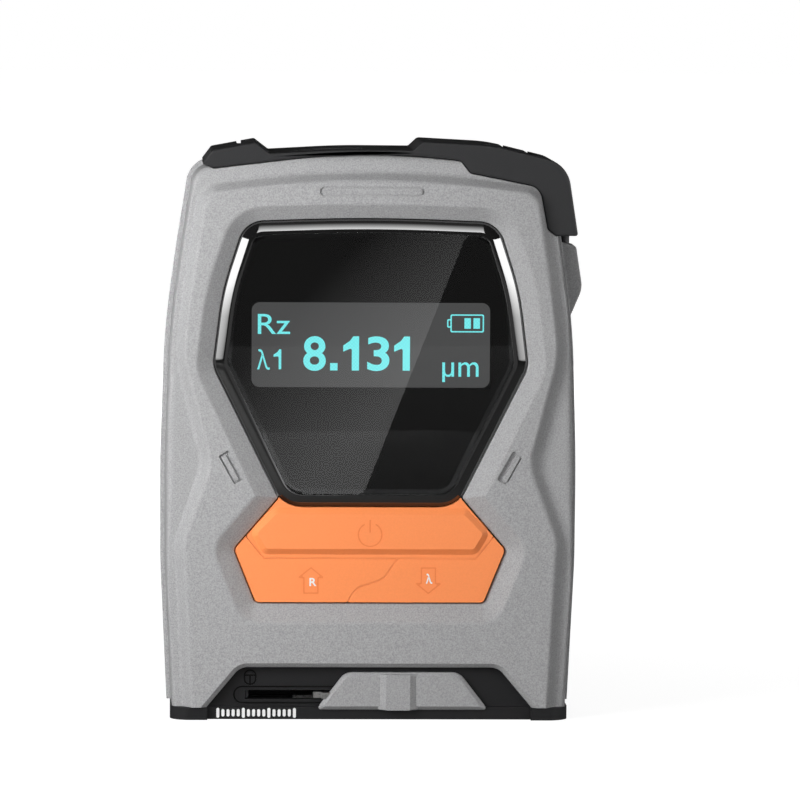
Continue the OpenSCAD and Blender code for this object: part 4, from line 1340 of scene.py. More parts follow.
@dataclass
class Display:
    """Bezel, lens and the lit picture behind it."""

    form: Form
    levels: Levels
    bead_tilt: float = 34.0
    bead_rise: float = 0.5
    bead_steps: int = 20
    bead_seat: float = 0.2
    overlap: float = 0.05
    flange_in: float = 1.0
    flange_out: float = 0.8
    lens_fit: float = 0.03
    lens_edge: float = 0.08
    lens_gap: float = 0.12
    ink_t: float = 0.03
    window: tuple[float, float, float, float] = (-23.3, 65.2, 23.3, 81.8)
    window_r: float = 1.6
    legends: tuple[Legend, ...] = (
        Legend("Rz", -22.1, 75.6, -15.8, 79.5),
        Legend("λ", -22.2, 68.6, -19.7, 72.6),
        Legend("8", -13.2, 68.4, -8.8, 75.2, 0.02),
        Legend("3", -0.7, 68.4, 3.65, 75.2, 0.02),
        Legend("µm", 14.0, 66.3, 21.1, 70.2),
    )
    ones: tuple[tuple[float, float, float, float, float], ...] = (
        (-5.4, 68.5, -2.3, 75.2, 1.42), (4.55, 68.5, 7.65, 75.2, 1.42), (-19.0, 68.7, -17.5, 72.6, 0.5),
    )
    point: tuple[float, float, float, float] = (-7.95, 68.5, -6.5, 69.95)
    cell: tuple[float, float, float, float] = (15.66, 76.17, 21.97, 79.44)
    cell_nub: tuple[float, float] = (0.65, 1.44)
    cell_bars: tuple[float, float] = (3.7, 1.93)
    bar_w: float = 1.27
    bar_gap: float = 0.6
    line: float = 0.26

    def build_bezel(self) -> bpy.types.Object:
        """Make the glossy bead, whose tilt grows evenly outwards, with its flange behind the wall."""
        lens, y, w = self.form.lens, self.levels, self.form.bezel_w
        crest = y.lip - self.bead_seat - self.bead_rise
        last = math.radians(self.bead_tilt)
        arch = []
        for k in range(self.bead_steps + 1):
            share = k / self.bead_steps
            fall = -math.log(math.cos(last * share)) * w / last
            arch.append(Ring(self.form.bezel(share, self.overlap * (1 - share)).points(), crest + fall))
        hole = lens.grown(-self.flange_in).points()
        rim = self.form.bezel(1.0, self.flange_out).points()
        rings = [
            Ring(hole, y.flange),
            Ring(hole, y.lens_back),
            Ring(lens.grown(self.overlap).points(), y.lens_back),
            *arch,
            Ring(self.form.bezel(1.0).points(), y.back),
            Ring(rim, y.back),
            Ring(rim, y.flange),
        ]
        piece = loft("bezel", rings, closed=True)
        return fit(shade(piece), BEZEL_GLOSS, Body.HOUSING, Slot.BEZEL, "display_bezel")

    def build_lens(self) -> bpy.types.Object:
        """Make the clear lens with its polished rim."""
        lens, front, back = self.form.lens, self.levels.lens, self.levels.lens_back - self.lens_gap
        rim, inner = lens.grown(-self.lens_fit).points(), lens.grown(-1.0).points()
        rings = [Ring(inner, front), Ring(rim, front, self.lens_edge), Ring(rim, back), Ring(inner, back)]
        piece = loft("lens", rings)
        return fit(shade(piece), LENS_CLEAR, Body.HOUSING, Slot.LENS, "display_lens")

    @staticmethod
    def one(left: float, bottom: float, right: float, top: float, stem: float) -> Outline:
        """Return the outline of a flagged digit one.

        Args:
            left: left end of its flag.
            bottom: its foot.
            right: right side of its stem.
            top: its top.
            stem: width of its stem.

        Returns:
            The outline.
        """
        height, inner, sharp, soft = top - bottom, right - stem, 0.02, 0.3
        flag_z = top - 0.27 * height
        return Outline([
            (inner, bottom, sharp), (right, bottom, sharp), (right, top, sharp),
            (inner + 0.2 * stem, top, sharp), (inner - (inner - left) / 5, top - 0.13 * height, soft),
            (left, flag_z, sharp), (left, flag_z - 0.85 * stem, sharp), (inner, bottom + 0.66 * height, soft),
        ])

    def build_picture(self) -> None:
        """Make the window, whose grey glow is painted light, the reading and the cell symbol."""
        face = self.levels.lens_back
        # painted light: the window glows grey in place of the light that would reach the panel through the
        # lens
        window = plate("lit_window", rectangle(*self.window, self.window_r), face - self.ink_t, face)
        fit(window, WINDOW_PAINTED_LIGHT, Body.HOUSING, Slot.SCREEN)
        ink = face - 2 * self.ink_t
        signs = [lettering("sign", legend, ink, self.ink_t) for legend in self.legends]
        left, bottom, right, top = self.cell
        middle = (bottom + top) / 2
        nub_w, nub_h = self.cell_nub
        nub = rectangle(left - nub_w, middle - nub_h / 2, left, middle + nub_h / 2, 0.2)
        for outline in (rectangle(left, bottom, right, top, 0.2), nub):
            signs.append(band("cell", outline, self.line, ink, ink + self.ink_t))
        foot, head = bottom + self.bar_gap, top - self.bar_gap
        bars = [rectangle(right - x, foot, right - x + self.bar_w, head, 0.08) for x in self.cell_bars]
        for shape in (*bars, rectangle(*self.point, 0.05), *(self.one(*place) for place in self.ones)):
            signs.append(plate("shape", shape, ink, ink + self.ink_t))
        fit(merged("reading", signs), DIGIT_CYAN, Body.HOUSING, Slot.SCREEN)

    def build(self) -> None:
        """Make every piece of the display."""
        self.build_bezel()
        self.build_lens()
        self.build_picture()


@dataclass
class Keypad:
    """The three soft orange keys with their engraved signs, whose grooves hold a darker orange painted shade.
    """

    edge: float = 0.28
    power_edge: float = 0.5
    engraving: float = 0.16
    line: float = 0.27
    power_at: tuple[float, float] = (0.0, 36.5)
    power_r: float = 2.3
    power_gap: float = 28.0
    power_steps: int = 40
    power_stroke: tuple[float, float] = (0.4, 2.9)
    up_arrow: tuple[float, float] = (-11.5, 27.4)
    down_arrow: tuple[float, float] = (11.5, 27.4)
    arrow_h: float = 2.5
    arrow_w: float = 2.4
    arrow_barb: float = 0.55
    shaft_w: float = 1.37
    # thickness of the darker orange painted shade that fills the engravings
    groove_shade_t: float = 0.1
    sign_t: float = 0.06
    web_half_w: float = 0.09
    web_depths: tuple[float, float] = (0.06, 1.2)
    seams: tuple[tuple[tuple[float, float], ...], ...] = (
        ((-24.0, 35.9), (-20.7, 31.8), (20.7, 31.8), (24.0, 35.9)),
        ((5.45, 31.66), (4.9, 31.0), (3.0, 28.1), (1.8, 27.4), (-2.2, 26.1), (-3.3, 24.9), (-4.3, 23.25)),
    )

    def web(self, line: Sequence[Sequence[float]], face: float) -> bpy.types.Object:
        """Make the soft web between two keys.

        Args:
            line: x and z along the middle of the gap.
            face: depth of the lower keys' faces.

        Returns:
            The new object.
        """
        spots = [Vector(p) for p in line]
        ways = [(b - a).normalized() for a, b in zip(spots, spots[1:])]
        sides: list[list[Vector]] = [[], []]
        for k, spot in enumerate(spots):
            before, after = ways[max(0, k - 1)], ways[min(k, len(ways) - 1)]
            way = (before + after).normalized()
            reach = self.web_half_w / max(0.3, way.dot(after))
            across = Vector((-way.y, way.x)) * reach
            sides[0].append(spot + across)
            sides[1].append(spot - across)
        ring = sides[0] + sides[1][::-1]
        return loft("web", [Ring(ring, face + depth) for depth in self.web_depths])

    def arrow(self, at: Sequence[float], up: int, front: float, back: float) -> bpy.types.Object:
        """Make one arrow outline, as a tool, or as the darker orange painted shade that fills its engraving.

        Args:
            at: x and z of the arrow's middle.
            up: 1 for an arrow that points up and -1 for down.
            front: depth of its front.
            back: depth of its back.

        Returns:
            The new object.
        """
        x, z = at
        barb = z + self.arrow_barb
        corners = [
            (x - self.shaft_w, z - self.arrow_h), (x + self.shaft_w, z - self.arrow_h),
            (x + self.shaft_w, barb), (x + self.arrow_w, barb),
            (x, z + self.arrow_h), (x - self.arrow_w, barb), (x - self.shaft_w, barb),
        ]
        if up < 0:
            corners = [(px, 2 * z - pz) for px, pz in reversed(corners)]
        outline = Outline((px, pz, 0.05) for px, pz in corners)
        return band("arrow", outline, self.line, front, back)

    def power_sign(self, front: float, back: float) -> list[bpy.types.Object]:
        """Make the power sign, as tools, or as the darker orange painted shade that fills its engraving.

        Args:
            front: depth of its front.
            back: depth of its back.

        Returns:
            The open ring and the stroke.
        """
        x, z = self.power_at
        half, steps, gap = self.line / 2, self.power_steps, math.radians(self.power_gap)
        angles = [math.pi / 2 + gap + (2 * math.pi - 2 * gap) * k / steps for k in range(steps + 1)]
        arc = [
            Vector((x + radius * math.cos(angle), z + radius * math.sin(angle)))
            for radius, row in ((self.power_r + half, angles), (self.power_r - half, angles[::-1]))
            for angle in row
        ]
        ring = loft("ring", [Ring(arc, front), Ring(arc, back)])
        foot, top = self.power_stroke
        stroke = block("stroke", (x - half, front, z + foot), (x + half, back, z + top))
        return [ring, stroke]

    def build(self) -> None:
        """Make the keys, the darker orange painted shade in their engravings, and the white signs on the two
        lower ones.
        """
        power = softened_copy("power_key", "power_pad", self.power_edge)
        face = low("power_key").y
        back = face + self.engraving
        carve(power, *self.power_sign(face - 1, back))
        fit(shade(power), SOFT_ORANGE, Body.POWER, Slot.KEYS, "power_key")
        # painted shade: darker orange fill in the power sign's engraving
        sign = merged("power_sign", self.power_sign(back - self.groove_shade_t, back))
        fit(sign, ORANGE_PAINTED_SHADE, Body.POWER, Slot.KEYS)
        lower = (
            ("parameter", Body.PARAMETER, self.up_arrow, 1, Legend("R", -11.8, 26.3, -10.4, 27.9, 0.02)),
            ("cutoff", Body.CUTOFF, self.down_arrow, -1, Legend("λ", 11.0, 26.8, 12.3, 28.8, 0.02)),
        )
        for name, body, at, up, legend in lower:
            face = low(name + "_key").y
            pad = softened_copy(name + "_key", name + "_pad", self.edge)
            back = face + self.engraving
            carve(pad, self.arrow(at, up, face - 1, back))
            fit(shade(pad), SOFT_ORANGE, body, Slot.KEYS, name + "_key")
            # painted shade: darker orange fill in the arrow's engraving
            groove_shade = self.arrow(at, up, back - self.groove_shade_t, back)
            groove_shade.name = name + "_arrow"
            fit(groove_shade, ORANGE_PAINTED_SHADE, body, Slot.KEYS)
            sign = lettering(name + "_sign", legend, face - self.sign_t / 2, self.sign_t)
            fit(sign, SCALE_WHITE, body, Slot.KEYS)
        face = low("parameter_key").y
        webs = merged("key_web", [self.web(line, face) for line in self.seams])
        fit(webs, SOFT_ORANGE, Body.HOUSING, Slot.KEYS)


class Pattern:
    """A geometry tree with named inputs, whose result becomes a plain mesh."""

    def __init__(self, name: str, sizes: dict[str, str]) -> None:
        """Open the tree and name its inputs, with a place and a finish after the sizes.

        Args:
            name: name of the tree.
            sizes: socket type of each size.
        """
        self.group = bpy.data.node_groups.new(name, "GeometryNodeTree")
        ports = self.group.interface
        ports.new_socket("Geometry", in_out="OUTPUT", socket_type="NodeSocketGeometry")
        kinds = {**sizes, "Place": "NodeSocketVector", "Finish": "NodeSocketMaterial"}
        self.names = {
            key: ports.new_socket(key, in_out="INPUT", socket_type=kind).identifier
            for key, kind in kinds.items()
        }
        self.tree = Tree(self.group)
        self.given = self.tree.add("NodeGroupInput").outputs

    def joined(self, *parts: bpy.types.NodeSocket) -> bpy.types.NodeSocket:
        """Put geometries together and return the result.

        Args:
            parts: the geometries.

        Returns:
            All of them as one.
        """
        node = self.tree.add("GeometryNodeJoinGeometry")
        for part in parts:
            self.tree.feed(node.inputs["Geometry"], part)
        return node.outputs["Geometry"]

    def moved(self, geometry: bpy.types.NodeSocket, **change: object) -> bpy.types.NodeSocket:
        """Move or turn a geometry and return the result."""
        return self.tree.add("GeometryNodeTransform", Geometry=geometry, **change).outputs["Geometry"]

    def carved(self, way: Carving, *parts: bpy.types.NodeSocket) -> bpy.types.NodeSocket:
        """Cut the later parts out of the first, or join them all.

        Args:
            way: whether the parts are cut or joined.
            parts: the geometries.

        Returns:
            The result.
        """
        node = self.tree.add("GeometryNodeMeshBoolean", {"operation": way.value, "solver": "EXACT"})
        if way is Carving.CUT:
            self.tree.feed(node.inputs["Mesh 1"], parts[0])
        for part in parts[1:] if way is Carving.CUT else parts:
            self.tree.feed(node.inputs["Mesh 2"], part)
        return node.outputs["Mesh"]

    def close(self, geometry: bpy.types.NodeSocket) -> None:
        """End the tree: place the geometry, make its copies real and give it the finish.

        Args:
            geometry: what the tree has made.
        """
        placed = self.moved(geometry, Translation=self.given["Place"])
        real = self.tree.add("GeometryNodeRealizeInstances", Geometry=placed)
        painted = self.tree.add(
            "GeometryNodeSetMaterial", Geometry=real.outputs["Geometry"], Material=self.given["Finish"],
        )
        self.tree.add("NodeGroupOutput", Geometry=painted.outputs["Geometry"])

    def run(self, name: str, values: dict[str, object]) -> bpy.types.Object:
        """Run the tree and keep its result as a plain mesh.

        Args:
            name: name of the piece.
            values: value of each named input.

        Returns:
            The new object.
        """
        piece = linked(name, bpy.data.meshes.new(name))
        step = piece.modifiers.new("tree", "NODES")
        step.node_group = self.group
        for key, value in values.items():
            step[self.names[key]] = value
        return bake(piece)


@dataclass
class ScaleMarks:
    """White strokes of the scale on the base, made by a geometry tree."""

    count: int = 16
    every: int = 5
    pitch: float = 1.0
    width: float = 0.6
    long_h: float = 1.95
    short_h: float = 1.45
    thickness: float = 0.06
    sunk: float = 0.02
    end_share: float = 0.49
    end_steps: int = 6
    start: tuple[float, float] = (-29.6, 1.25)

    def pattern(self) -> Pattern:
        """Build the tree of a row of strokes, with a long one every few."""
        sizes = dict.fromkeys(("Count", "Every"), "NodeSocketInt")
        sizes |= dict.fromkeys(("Pitch", "Width", "Long", "Short", "Thickness"), "NodeSocketFloat")
        pattern = Pattern("scale_marks", sizes)
        tree, given = pattern.tree, pattern.given
        step = tree.add("ShaderNodeCombineXYZ", X=given["Pitch"])
        row = tree.add("GeometryNodeMeshLine", Count=given["Count"], Offset=step.outputs["Vector"])
        index = tree.add("GeometryNodeInputIndex").outputs["Index"]
        is_long = tree.math("LESS_THAN", tree.math("MODULO", index, given["Every"]), 0.5)
        is_short = tree.math("SUBTRACT", 1.0, is_long)
        rows = []
        for length, chosen in (("Long", is_long), ("Short", is_short)):
            spots = tree.add(
                "GeometryNodeInstanceOnPoints", Points=row.outputs["Mesh"], Selection=chosen,
                Instance=self.stroke(pattern, length),
            )
            rows.append(spots.outputs["Instances"])
        pattern.close(pattern.joined(*rows))
        return pattern

    def stroke(self, pattern: Pattern, length: str) -> bpy.types.NodeSocket:
        """Add the nodes of one round-ended stroke that stands in the XZ plane.

        Args:
            pattern: the tree to add to.
            length: name of the input that holds the stroke's length.

        Returns:
            The stroke.
        """
        tree, given = pattern.tree, pattern.given
        outline = tree.add(
            "GeometryNodeCurvePrimitiveQuadrilateral", Width=given["Width"], Height=given[length],
        )
        soft = tree.add(
            "GeometryNodeFilletCurve", {"mode": "POLY"}, Curve=outline.outputs["Curve"],
            Radius=tree.math("MULTIPLY", given["Width"], self.end_share), Count=self.end_steps,
        )
        flat = tree.add(
            "GeometryNodeFillCurve", {"mode": "NGONS"}, Curve=soft.outputs["Curve"],
        ).outputs["Mesh"]
        thick = tree.add(
            "GeometryNodeExtrudeMesh", {"mode": "FACES"}, Mesh=flat, Offset_Scale=given["Thickness"],
        )
        back = tree.add("GeometryNodeFlipFaces", Mesh=flat)
        both = pattern.joined(thick.outputs["Mesh"], back.outputs["Mesh"])
        whole = tree.add("GeometryNodeMergeByDistance", Geometry=both, Distance=MERGE_MM * MM)
        return pattern.moved(whole.outputs["Geometry"], Rotation=(math.pi / 2, 0.0, 0.0))

    def build(self, face: float) -> bpy.types.Object:
        """Make the strokes on the base's front lip.

        Args:
            face: depth of the lip.

        Returns:
            The new piece.
        """
        piece = self.pattern().run("scale_marks", {
            "Count": self.count, "Every": self.every, "Pitch": self.pitch * MM, "Width": self.width * MM,
            "Long": self.long_h * MM, "Short": self.short_h * MM, "Thickness": self.thickness * MM,
            "Place": (self.start[0] * MM, (face + self.sunk) * MM, self.start[1] * MM),
            "Finish": SCALE_WHITE.material(),
        })
        return fit(piece, SCALE_WHITE, Body.HOUSING, Slot.TRIM)


@dataclass(frozen=True)
class ScrewGroup:
    """Four like screws, as two pairs, in a plane that faces one way."""

    node: str
    head_r: float
    head_h: float
    socket_r: float
    shank_r: float
    shank_l: float
    pair_a: tuple[float, float]
    pair_b: tuple[float, float]
    turn: float
    place: tuple[float, float, float]

    def values(self, finish: Finish) -> dict[str, object]:
        """Return the values of the tree's inputs.

        Args:
            finish: the screws' finish.

        Returns:
            The values by name.
        """
        return {
            "Head Radius": self.head_r * MM, "Head Height": self.head_h * MM,
            "Socket Radius": self.socket_r * MM, "Shank Radius": self.shank_r * MM,
            "Shank Length": self.shank_l * MM, "Pair A": (*(v * MM for v in self.pair_a), 0.0),
            "Pair B": (*(v * MM for v in self.pair_b), 0.0), "Turn": (self.turn, 0.0, 0.0),
            "Place": tuple(v * MM for v in self.place), "Finish": finish.material(),
        }


@dataclass
class Screws:
    """Socket-head screws that close the tester, made by a geometry tree."""

    form: Form
    case_sizes: tuple[float, float, float, float] = (2.2, 1.6, 1.0, 1.2)
    base_sizes: tuple[float, float, float, float] = (2.1, 1.1, 0.9, 1.0)
    head_sides: int = 40
    socket_sides: int = 6
    shank_sides: int = 24

    def case_group(self) -> ScrewGroup:
        """Return the screws in the rear shell, placed from their solids."""
        back = high("case_screws").y
        length = back - low("case_screws").y
        pairs = [(x, -z) for x, z in self.form.case_screw_spots]
        return ScrewGroup("case_screws", *self.case_sizes, length, *pairs, -math.pi / 2, (0.0, back, 0.0))

    def base_group(self, node: str, place: Sequence[float], top: float, foot: float) -> ScrewGroup:
        """Return a group of screws in the base.

        Args:
            node: name of their solids.
            place: x and y of their middle.
            top: z of their upper ends.
            foot: z of their heads.

        Returns:
            The group, spread as its solids are.
        """
        half, head_r = (high(node) - low(node)) / 2, self.base_sizes[0]
        x, y = half.x - head_r, half.y - head_r
        return ScrewGroup(node, *self.base_sizes, top - foot, (x, -y), (x, y), math.pi, (*place, foot))

    def groups(self) -> list[ScrewGroup]:
        """Return the screw groups."""
        foot = low("base_screws").z
        drive = (low("drive_screws") + high("drive_screws")) / 2
        return [
            self.case_group(),
            self.base_group("base_screws", (0.0, 0.0), high("base_screws").z, foot),
            self.base_group("drive_screws", (drive.x, drive.y), high("drive_screws").z, foot),
        ]

    def pattern(self) -> Pattern:
        """Build the tree of four screws."""
        lengths = ("Head Radius", "Head Height", "Socket Radius", "Shank Radius", "Shank Length")
        sizes = dict.fromkeys(lengths, "NodeSocketFloat")
        sizes |= dict.fromkeys(("Pair A", "Pair B", "Turn"), "NodeSocketVector")
        pattern = Pattern("screw_set", sizes)
        given = pattern.given
        head = self.drum(pattern, given["Head Radius"], given["Head Height"], self.head_sides, -0.5)
        socket = self.drum(pattern, given["Socket Radius"], given["Head Height"], self.socket_sides, 0.0)
        shank = self.drum(pattern, given["Shank Radius"], given["Shank Length"], self.shank_sides, -0.5)
        parts = [pattern.carved(Carving.CUT, part, socket) for part in (head, shank)]
        screw = pattern.carved(Carving.JOIN, *parts)
        copies = []
        for pair in ("Pair A", "Pair B"):
            for side in (-1.0, 1.0):
                mirror = (side, 1.0, 1.0)
                spot = pattern.tree.pair("ShaderNodeVectorMath", "MULTIPLY", given[pair], mirror)
                copies.append(pattern.moved(screw, Translation=spot.outputs[0]))
        pattern.close(pattern.moved(pattern.joined(*copies), Rotation=given["Turn"]))
        return pattern

    @staticmethod
    def drum(
        pattern: Pattern, radius: bpy.types.NodeSocket, height: bpy.types.NodeSocket, sides: int, lift: float,
    ) -> bpy.types.NodeSocket:
        """Add a cylinder.

        Args:
            pattern: the tree to add to.
            radius: its radius.
            height: its height.
            sides: number of its sides.
            lift: where its middle lies, as a share of its height.

        Returns:
            The cylinder.
        """
        tree = pattern.tree
        solid = tree.add("GeometryNodeMeshCylinder", Vertices=sides, Radius=radius, Depth=height)
        up = tree.add("ShaderNodeCombineXYZ", Z=tree.math("MULTIPLY", height, lift))
        return pattern.moved(solid.outputs["Mesh"], Translation=up.outputs["Vector"])

    def build(self) -> None:
        """Make each group of screws."""
        pattern = self.pattern()
        for screws in self.groups():
            piece = pattern.run(screws.node + "_set", screws.values(SCREW_STEEL))
            fit(shade(piece), SCREW_STEEL, Body.HOUSING, Slot.STEEL, screws.node)


@dataclass
class MeasuringBase:
    """Black base with its scale and track, black painted shade in its sign and along the track recess, and
    the slider on it.
    """

    levels: Levels
    edge: float = 0.2
    edge_angle: float = 40.0
    knob_edge: float = 0.18
    notch_d: float = 3.0
    lip_out: float = 1.0
    sign_at: tuple[float, float] = (-23.3, 8.15)
    sign_size: tuple[float, float] = (2.2, 2.8)
    sign_bar: float = 0.4
    sign_sunk: float = 0.04
    engraving: float = 0.3
    line: float = 0.3
    track: tuple[float, float, float, float] = (-26.45, 3.1, 1.55, 6.3)
    track_r: float = 1.55
    track_d: float = 0.35
    # depths of the black painted shade line along the track recess, from the recess floor
    rim_shade_depths: tuple[float, float] = (-0.03, 0.05)

    def lock_sign(self, front: float, back: float) -> list[bpy.types.Object]:
        """Make the closed-door sign, as tools, or as the black painted shade that fills its engraving.

        Args:
            front: depth of its front.
            back: depth of its back.

        Returns:
            The rounded outline, its bar and its stem.
        """
        x, z = self.sign_at
        half_w, half_h = self.sign_size[0] / 2, self.sign_size[1] / 2
        outline = rectangle(x - half_w, z - half_h, x + half_w, z + half_h, half_w - 0.05)
        half, bar = self.line / 2, z + self.sign_bar
        return [
            band("sign", outline, self.line, front, back),
            block("bar", (x - half_w, front, bar - half), (x + half_w, back, bar + half)),
            block("stem", (x - half, front, z - half_h), (x + half, back, bar)),
        ]

    def build(self) -> None:
        """Make the base, the black painted shade in its sign and along the track recess, the scale and the
        slider.
        """
        base = softened_copy("base_cover", "base", self.edge, self.edge_angle)
        notch_face = self.levels.front + self.notch_d
        back = notch_face + self.engraving
        carve(base, *self.lock_sign(notch_face - 1, back))
        fit(shade(base), BASE_BLACK, Body.HOUSING, Slot.TRIM, "base_cover")
        # painted shade: black fill in the lock sign's engraving
        signs = self.lock_sign(notch_face + self.sign_sunk, back)
        # painted shade: a black line along the edge of the track recess, where shade falls
        rim_shade_front, rim_shade_back = (notch_face + self.track_d + depth for depth in self.rim_shade_depths)
        signs.append(band("rim", rectangle(*self.track, self.track_r), self.line, rim_shade_front, rim_shade_back))
        fit(merged("base_painted_shade", signs), BLACK_PAINTED_SHADE, Body.HOUSING, Slot.TRIM)
        ScaleMarks().build(notch_face - self.lip_out)
        knob = softened_copy("slider_knob", "slider", self.knob_edge)
        fit(shade(knob), KNOB_PAINT, Body.SLIDER, Slot.SHELL, "slider_knob")


@dataclass(frozen=True)
class Inside:
    """Finishes of the solids that stay as they are."""

    finishes: tuple[tuple[Finish, tuple[str, ...]], ...] = (
        (BLACK_TRIM, ("strap_post",)),
        (STEEL, ("pickup_door", "charge_socket", "drive_motor", "motor_shaft", "lead_screw", "guide_rods")),
        (STEEL, ("pickup_pin", "stylus_pin", "board_screws")),
        (MASK_BLACK, ("display_holder", "display_panel")),
        (BOARD_GREEN, ("main_board",)),
        (PART_BLACK, ("tact_switches", "buzzer")),
        (CELL_FOIL, ("battery",)),
        (ALLOY, ("drive_frame", "carriage", "pickup_body", "stylus_arm")),
        (BRASS, ("shaft_coupling", "screw_bushes", "drive_nut")),
        (RUBY, ("pickup_skid",)),
        (TIP_CLEAR, ("stylus_tip",)),
    )

    def build(self) -> None:
        """Dress each solid."""
        for finish, nodes in self.finishes:
            for node in nodes:
                dress(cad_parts[node], finish)
                LOG.info("%s keeps its solid", node)


# Stage


@dataclass(frozen=True)
class Softbox:
    """A square lamp: its place and width in metres, and its power in watts."""

    name: str
    at: tuple[float, float, float]
    width: float
    watts: float


def unseen(piece: bpy.types.Object, *rays: str) -> None:
    """Hide a lamp or a card from some kinds of rays."""
    for ray in rays:
        setattr(piece, "visible_" + ray, False)


@dataclass
class Studio:
    """Camera, floor, white surroundings, lamps and cards, in metres."""

    levels: Levels
    distance: float = 1.2
    azimuth: float = -2.2
    elevation: float = 4.3
    roll: float = 0.37
    target: tuple[float, float, float] = (0.0063, 0.0, 0.0617)
    lens_mm: float = 272.9
    world_light: float = 0.03
    floor_tone: float = 0.22
    floor_glow: tuple[float, float] = (0.92, 1.0)
    floor_fade: tuple[float, float] = (0.05, 0.2)
    floor_half_mm: float = 6000.0
    lamp_aim: tuple[float, float, float] = (0.0, 0.0, 0.06)
    lamps: tuple[Softbox, ...] = (
        Softbox("key", (-0.36, -0.4, 0.1), 0.25, 0.8),
        Softbox("near", (-0.16, -0.17, 0.13), 0.1, 0.42),
        Softbox("front", (-0.1, -1.1, 0.12), 0.5, 1.5),
        Softbox("lower", (-0.1, -0.7, 0.07), 0.3, 0.8),
        Softbox("fill", (0.5, -0.9, 0.1), 0.5, 0.4),
        Softbox("side", (0.45, -0.15, 0.1), 0.25, 0.46),
        Softbox("back_left", (-0.28, 0.9, 0.2), 0.4, 2.2),
        Softbox("back_right", (0.28, 0.9, 0.2), 0.4, 2.2),
    )
    card_y: float = -0.3
    card_xs: tuple[float, float] = (-0.1, 0.13)
    dark_level: float = 0.19
    dark_top: float = 0.088
    glare_top: tuple[float, float] = (18.4, 95.5)
    glare_foot: tuple[float, float] = (-1.8, 43.6)
    glare_fade: tuple[tuple[float, float], tuple[float, float]] = ((-14.0, 82.2), (4.6, 63.6))
    glare_levels: tuple[float, float] = (0.2, 1.52)
    glare_over: tuple[float, float] = (0.006, 0.012)
    glare_near: float = 0.004
    roof_xs: tuple[float, float] = (-0.12, 0.14)
    roof_edges: tuple[tuple[float, float], tuple[float, float]] = ((-0.7, 0.26), (0.0, 0.75))
    roof_fade: tuple[float, float] = (-0.385, 0.48)
    roof_levels: tuple[float, float] = (5.0, 0.1)
    wing_x: float = 0.45
    wing_ys: tuple[float, float] = (-1.1, 0.15)
    wing_zs: tuple[float, float] = (0.05, 0.26)
    wing_fade_z: float = 0.16
    wing_levels: tuple[float, float] = (0.8, 7.0)

    def eye(self) -> Vector:
        """Return the place of the camera."""
        a, e = math.radians(self.azimuth), math.radians(self.elevation)
        back = Vector((math.sin(a) * math.cos(e), -math.cos(a) * math.cos(e), math.sin(e)))
        return Vector(self.target) + back * self.distance

    def build_camera(self) -> None:
        """Make the camera at the photograph's viewing angle."""
        data = bpy.data.cameras.new("camera")
        data.sensor_width = 36.0
        data.lens = self.lens_mm
        data.clip_end = 20.0
        camera = linked("camera", data)
        aim = (Vector(self.target) - self.eye()).to_track_quat("-Z", "Y")
        turn = aim.to_matrix() @ Matrix.Rotation(math.radians(self.roll), 3, "Z")
        camera.matrix_world = Matrix.Translation(self.eye()) @ turn.to_4x4()
        bpy.context.scene.camera = camera

    def build_world(self) -> None:
        """Make a dim world that is white where it is seen directly."""
        world = bpy.data.worlds.new("studio")
        bpy.context.scene.world = world
        tree = Tree.of(world)
        mix = tree.add("ShaderNodeMixShader", Fac=tree.add("ShaderNodeLightPath").outputs["Is Camera Ray"])
        for socket, strength in zip(mix.inputs[1:], (self.world_light, 1.0)):
            light = tree.add("ShaderNodeBackground", Color=WHITE, Strength=strength)
            tree.feed(socket, light.outputs["Background"])
        tree.add("ShaderNodeOutputWorld", Surface=mix.outputs["Shader"])

    def build_floor(self) -> None:
        """Make the pale floor, which keeps a soft shadow."""
        bm = bmesh.new()
        bmesh.ops.create_grid(bm, x_segments=1, y_segments=1, size=self.floor_half_mm)
        floor = new_object("floor", bm)
        material = bpy.data.materials.new("floor_pale")
        tree = Tree.of(material)
        matt = tree.add("ShaderNodeBsdfDiffuse", Color=scaled(WHITE, self.floor_tone))
        away = tree.add("ShaderNodeVectorMath", {"operation": "LENGTH"}, Vector=tree.place())
        fade = tree.spread(away.outputs["Value"], *self.floor_glow, *self.floor_fade)
        seen = tree.add("ShaderNodeLightPath").outputs["Is Camera Ray"]
        glow = tree.add("ShaderNodeEmission", Color=WHITE, Strength=tree.math("MULTIPLY", seen, fade))
        both = tree.add("ShaderNodeAddShader")
        tree.feed(both.inputs[0], matt.outputs["BSDF"])
        tree.feed(both.inputs[1], glow.outputs["Emission"])
        tree.add("ShaderNodeOutputMaterial", Surface=both.outputs["Shader"])
        floor.data.materials.append(material)

    def build_lamps(self) -> None:
        """Make the softboxes, which mirrors and the lens don't show."""
        for box in self.lamps:
            data = bpy.data.lights.new(box.name, "AREA")
            data.shape = "RECTANGLE"
            data.size = data.size_y = box.width
            data.energy = box.watts
            lamp = linked(box.name, data)
            unseen(lamp, "camera", "glossy", "transmission")
            lamp.location = box.at
            lamp.rotation_mode = "QUATERNION"
            way = Vector(self.lamp_aim) - Vector(box.at)
            lamp.rotation_quaternion = way.to_track_quat("-Z", "Y")

    def mirrored(self, x: float, z: float) -> Vector:
        """Return the point of the card that a spot of the lens mirrors to the camera.

        Args:
            x: the spot's x in millimetres.
            z: the spot's z in millimetres.

        Returns:
            The point on the card's plane, in metres.
        """
        eye = self.eye()
        plane = self.levels.lens * MM
        twin = Vector((eye.x, 2 * plane - eye.y, eye.z))
        spot = Vector((x * MM, plane, z * MM))
        way = spot - twin
        return twin + way * ((self.card_y - twin.y) / way.y)

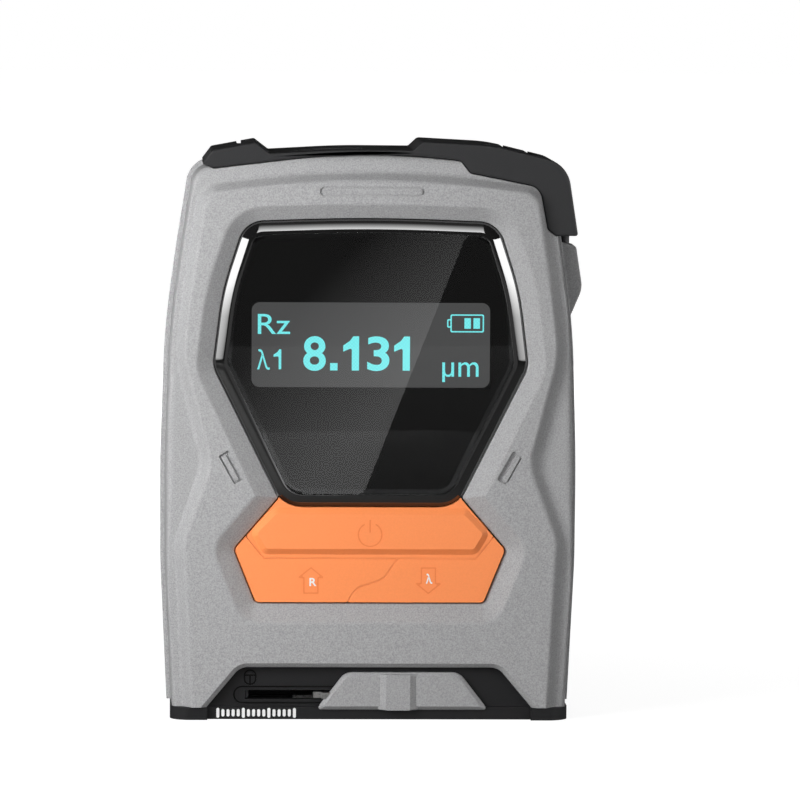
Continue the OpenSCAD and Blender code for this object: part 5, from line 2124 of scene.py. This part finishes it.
    def card(
        self, name: str, corners: Sequence[Sequence[float]], levels: tuple[float, float],
        ends: tuple[Sequence[float], Sequence[float]],
    ) -> None:
        """Make a studio card that only mirrors show.

        Args:
            name: name of the card.
            corners: its corners in metres.
            levels: its light at the two ends of its fade.
            ends: the points where the fade starts and ends.
        """
        mesh = bpy.data.meshes.new(name)
        mesh.from_pydata([tuple(c) for c in corners], [], [tuple(range(len(corners)))])
        card = linked(name, mesh)
        unseen(card, "camera", "diffuse", "transmission", "shadow")
        material = bpy.data.materials.new(name)
        tree = Tree.of(material)
        start, end = (Vector(point) for point in ends)
        way = end - start
        along = tree.pair("ShaderNodeVectorMath", "DOT_PRODUCT", tree.place(), way)
        level = tree.spread(along.outputs["Value"], *levels, start.dot(way), end.dot(way))
        light = tree.add("ShaderNodeEmission", Color=WHITE, Strength=level)
        tree.add("ShaderNodeOutputMaterial", Surface=light.outputs["Emission"])
        mesh.materials.append(material)

    def build_cards(self) -> None:
        """Make the cards that the lens and the bead mirror."""
        y, near, (left, right) = self.card_y, self.card_y + self.glare_near, self.card_xs
        wall = [(left, y, 0.0), (right, y, 0.0), (right, y, self.dark_top), (left, y, self.dark_top)]
        self.card("dark_card", wall, (self.dark_level, self.dark_level), (wall[0], wall[2]))
        top, foot = self.mirrored(*self.glare_top), self.mirrored(*self.glare_foot)
        slope = (top - foot) / (top.z - foot.z)
        upper, lower = top + slope * self.glare_over[0], foot - slope * self.glare_over[1]
        slant = [
            (left, near, lower.z), (lower.x, near, lower.z), (upper.x, near, upper.z), (left, near, upper.z),
        ]
        fade = tuple(self.mirrored(*spot) for spot in self.glare_fade)
        self.card("glare_card", slant, self.glare_levels, fade)
        (left, right), (front, back) = self.roof_xs, self.roof_edges
        roof = [(left, *front), (right, *front), (right, *back), (left, *back)]
        self.card("top_card", roof, self.roof_levels, (roof[0], (left, *self.roof_fade)))
        (front_y, back_y), (low_z, high_z) = self.wing_ys, self.wing_zs
        for side, name in ((-1, "left_card"), (1, "right_card")):
            x = self.wing_x * side
            wing = [(x, front_y, low_z), (x, back_y, low_z), (x, back_y, high_z), (x, front_y, high_z)]
            self.card(name, wing, self.wing_levels, (wing[0], (x, front_y, self.wing_fade_z)))

    def build(self) -> None:
        """Make the whole stage."""
        bpy.context.scene.view_settings.view_transform = "Standard"
        self.build_camera()
        self.build_world()
        self.build_floor()
        self.build_lamps()
        self.build_cards()


def main() -> None:
    """Build the tester's looks and its stage."""
    logging.basicConfig(level=logging.INFO, format="%(message)s")
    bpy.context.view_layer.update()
    levels = Levels()
    form = Form()
    Studio(levels).build()
    bumper = Bumper(form, levels)
    housing = Housing(form, levels, bumper)
    housing.build_front()
    housing.build_rear()
    bumper.build()
    Display(form, levels).build()
    Keypad().build()
    MeasuringBase(levels).build()
    Screws(form).build()
    Inside().build()


if __name__ == "__main__":
    main()
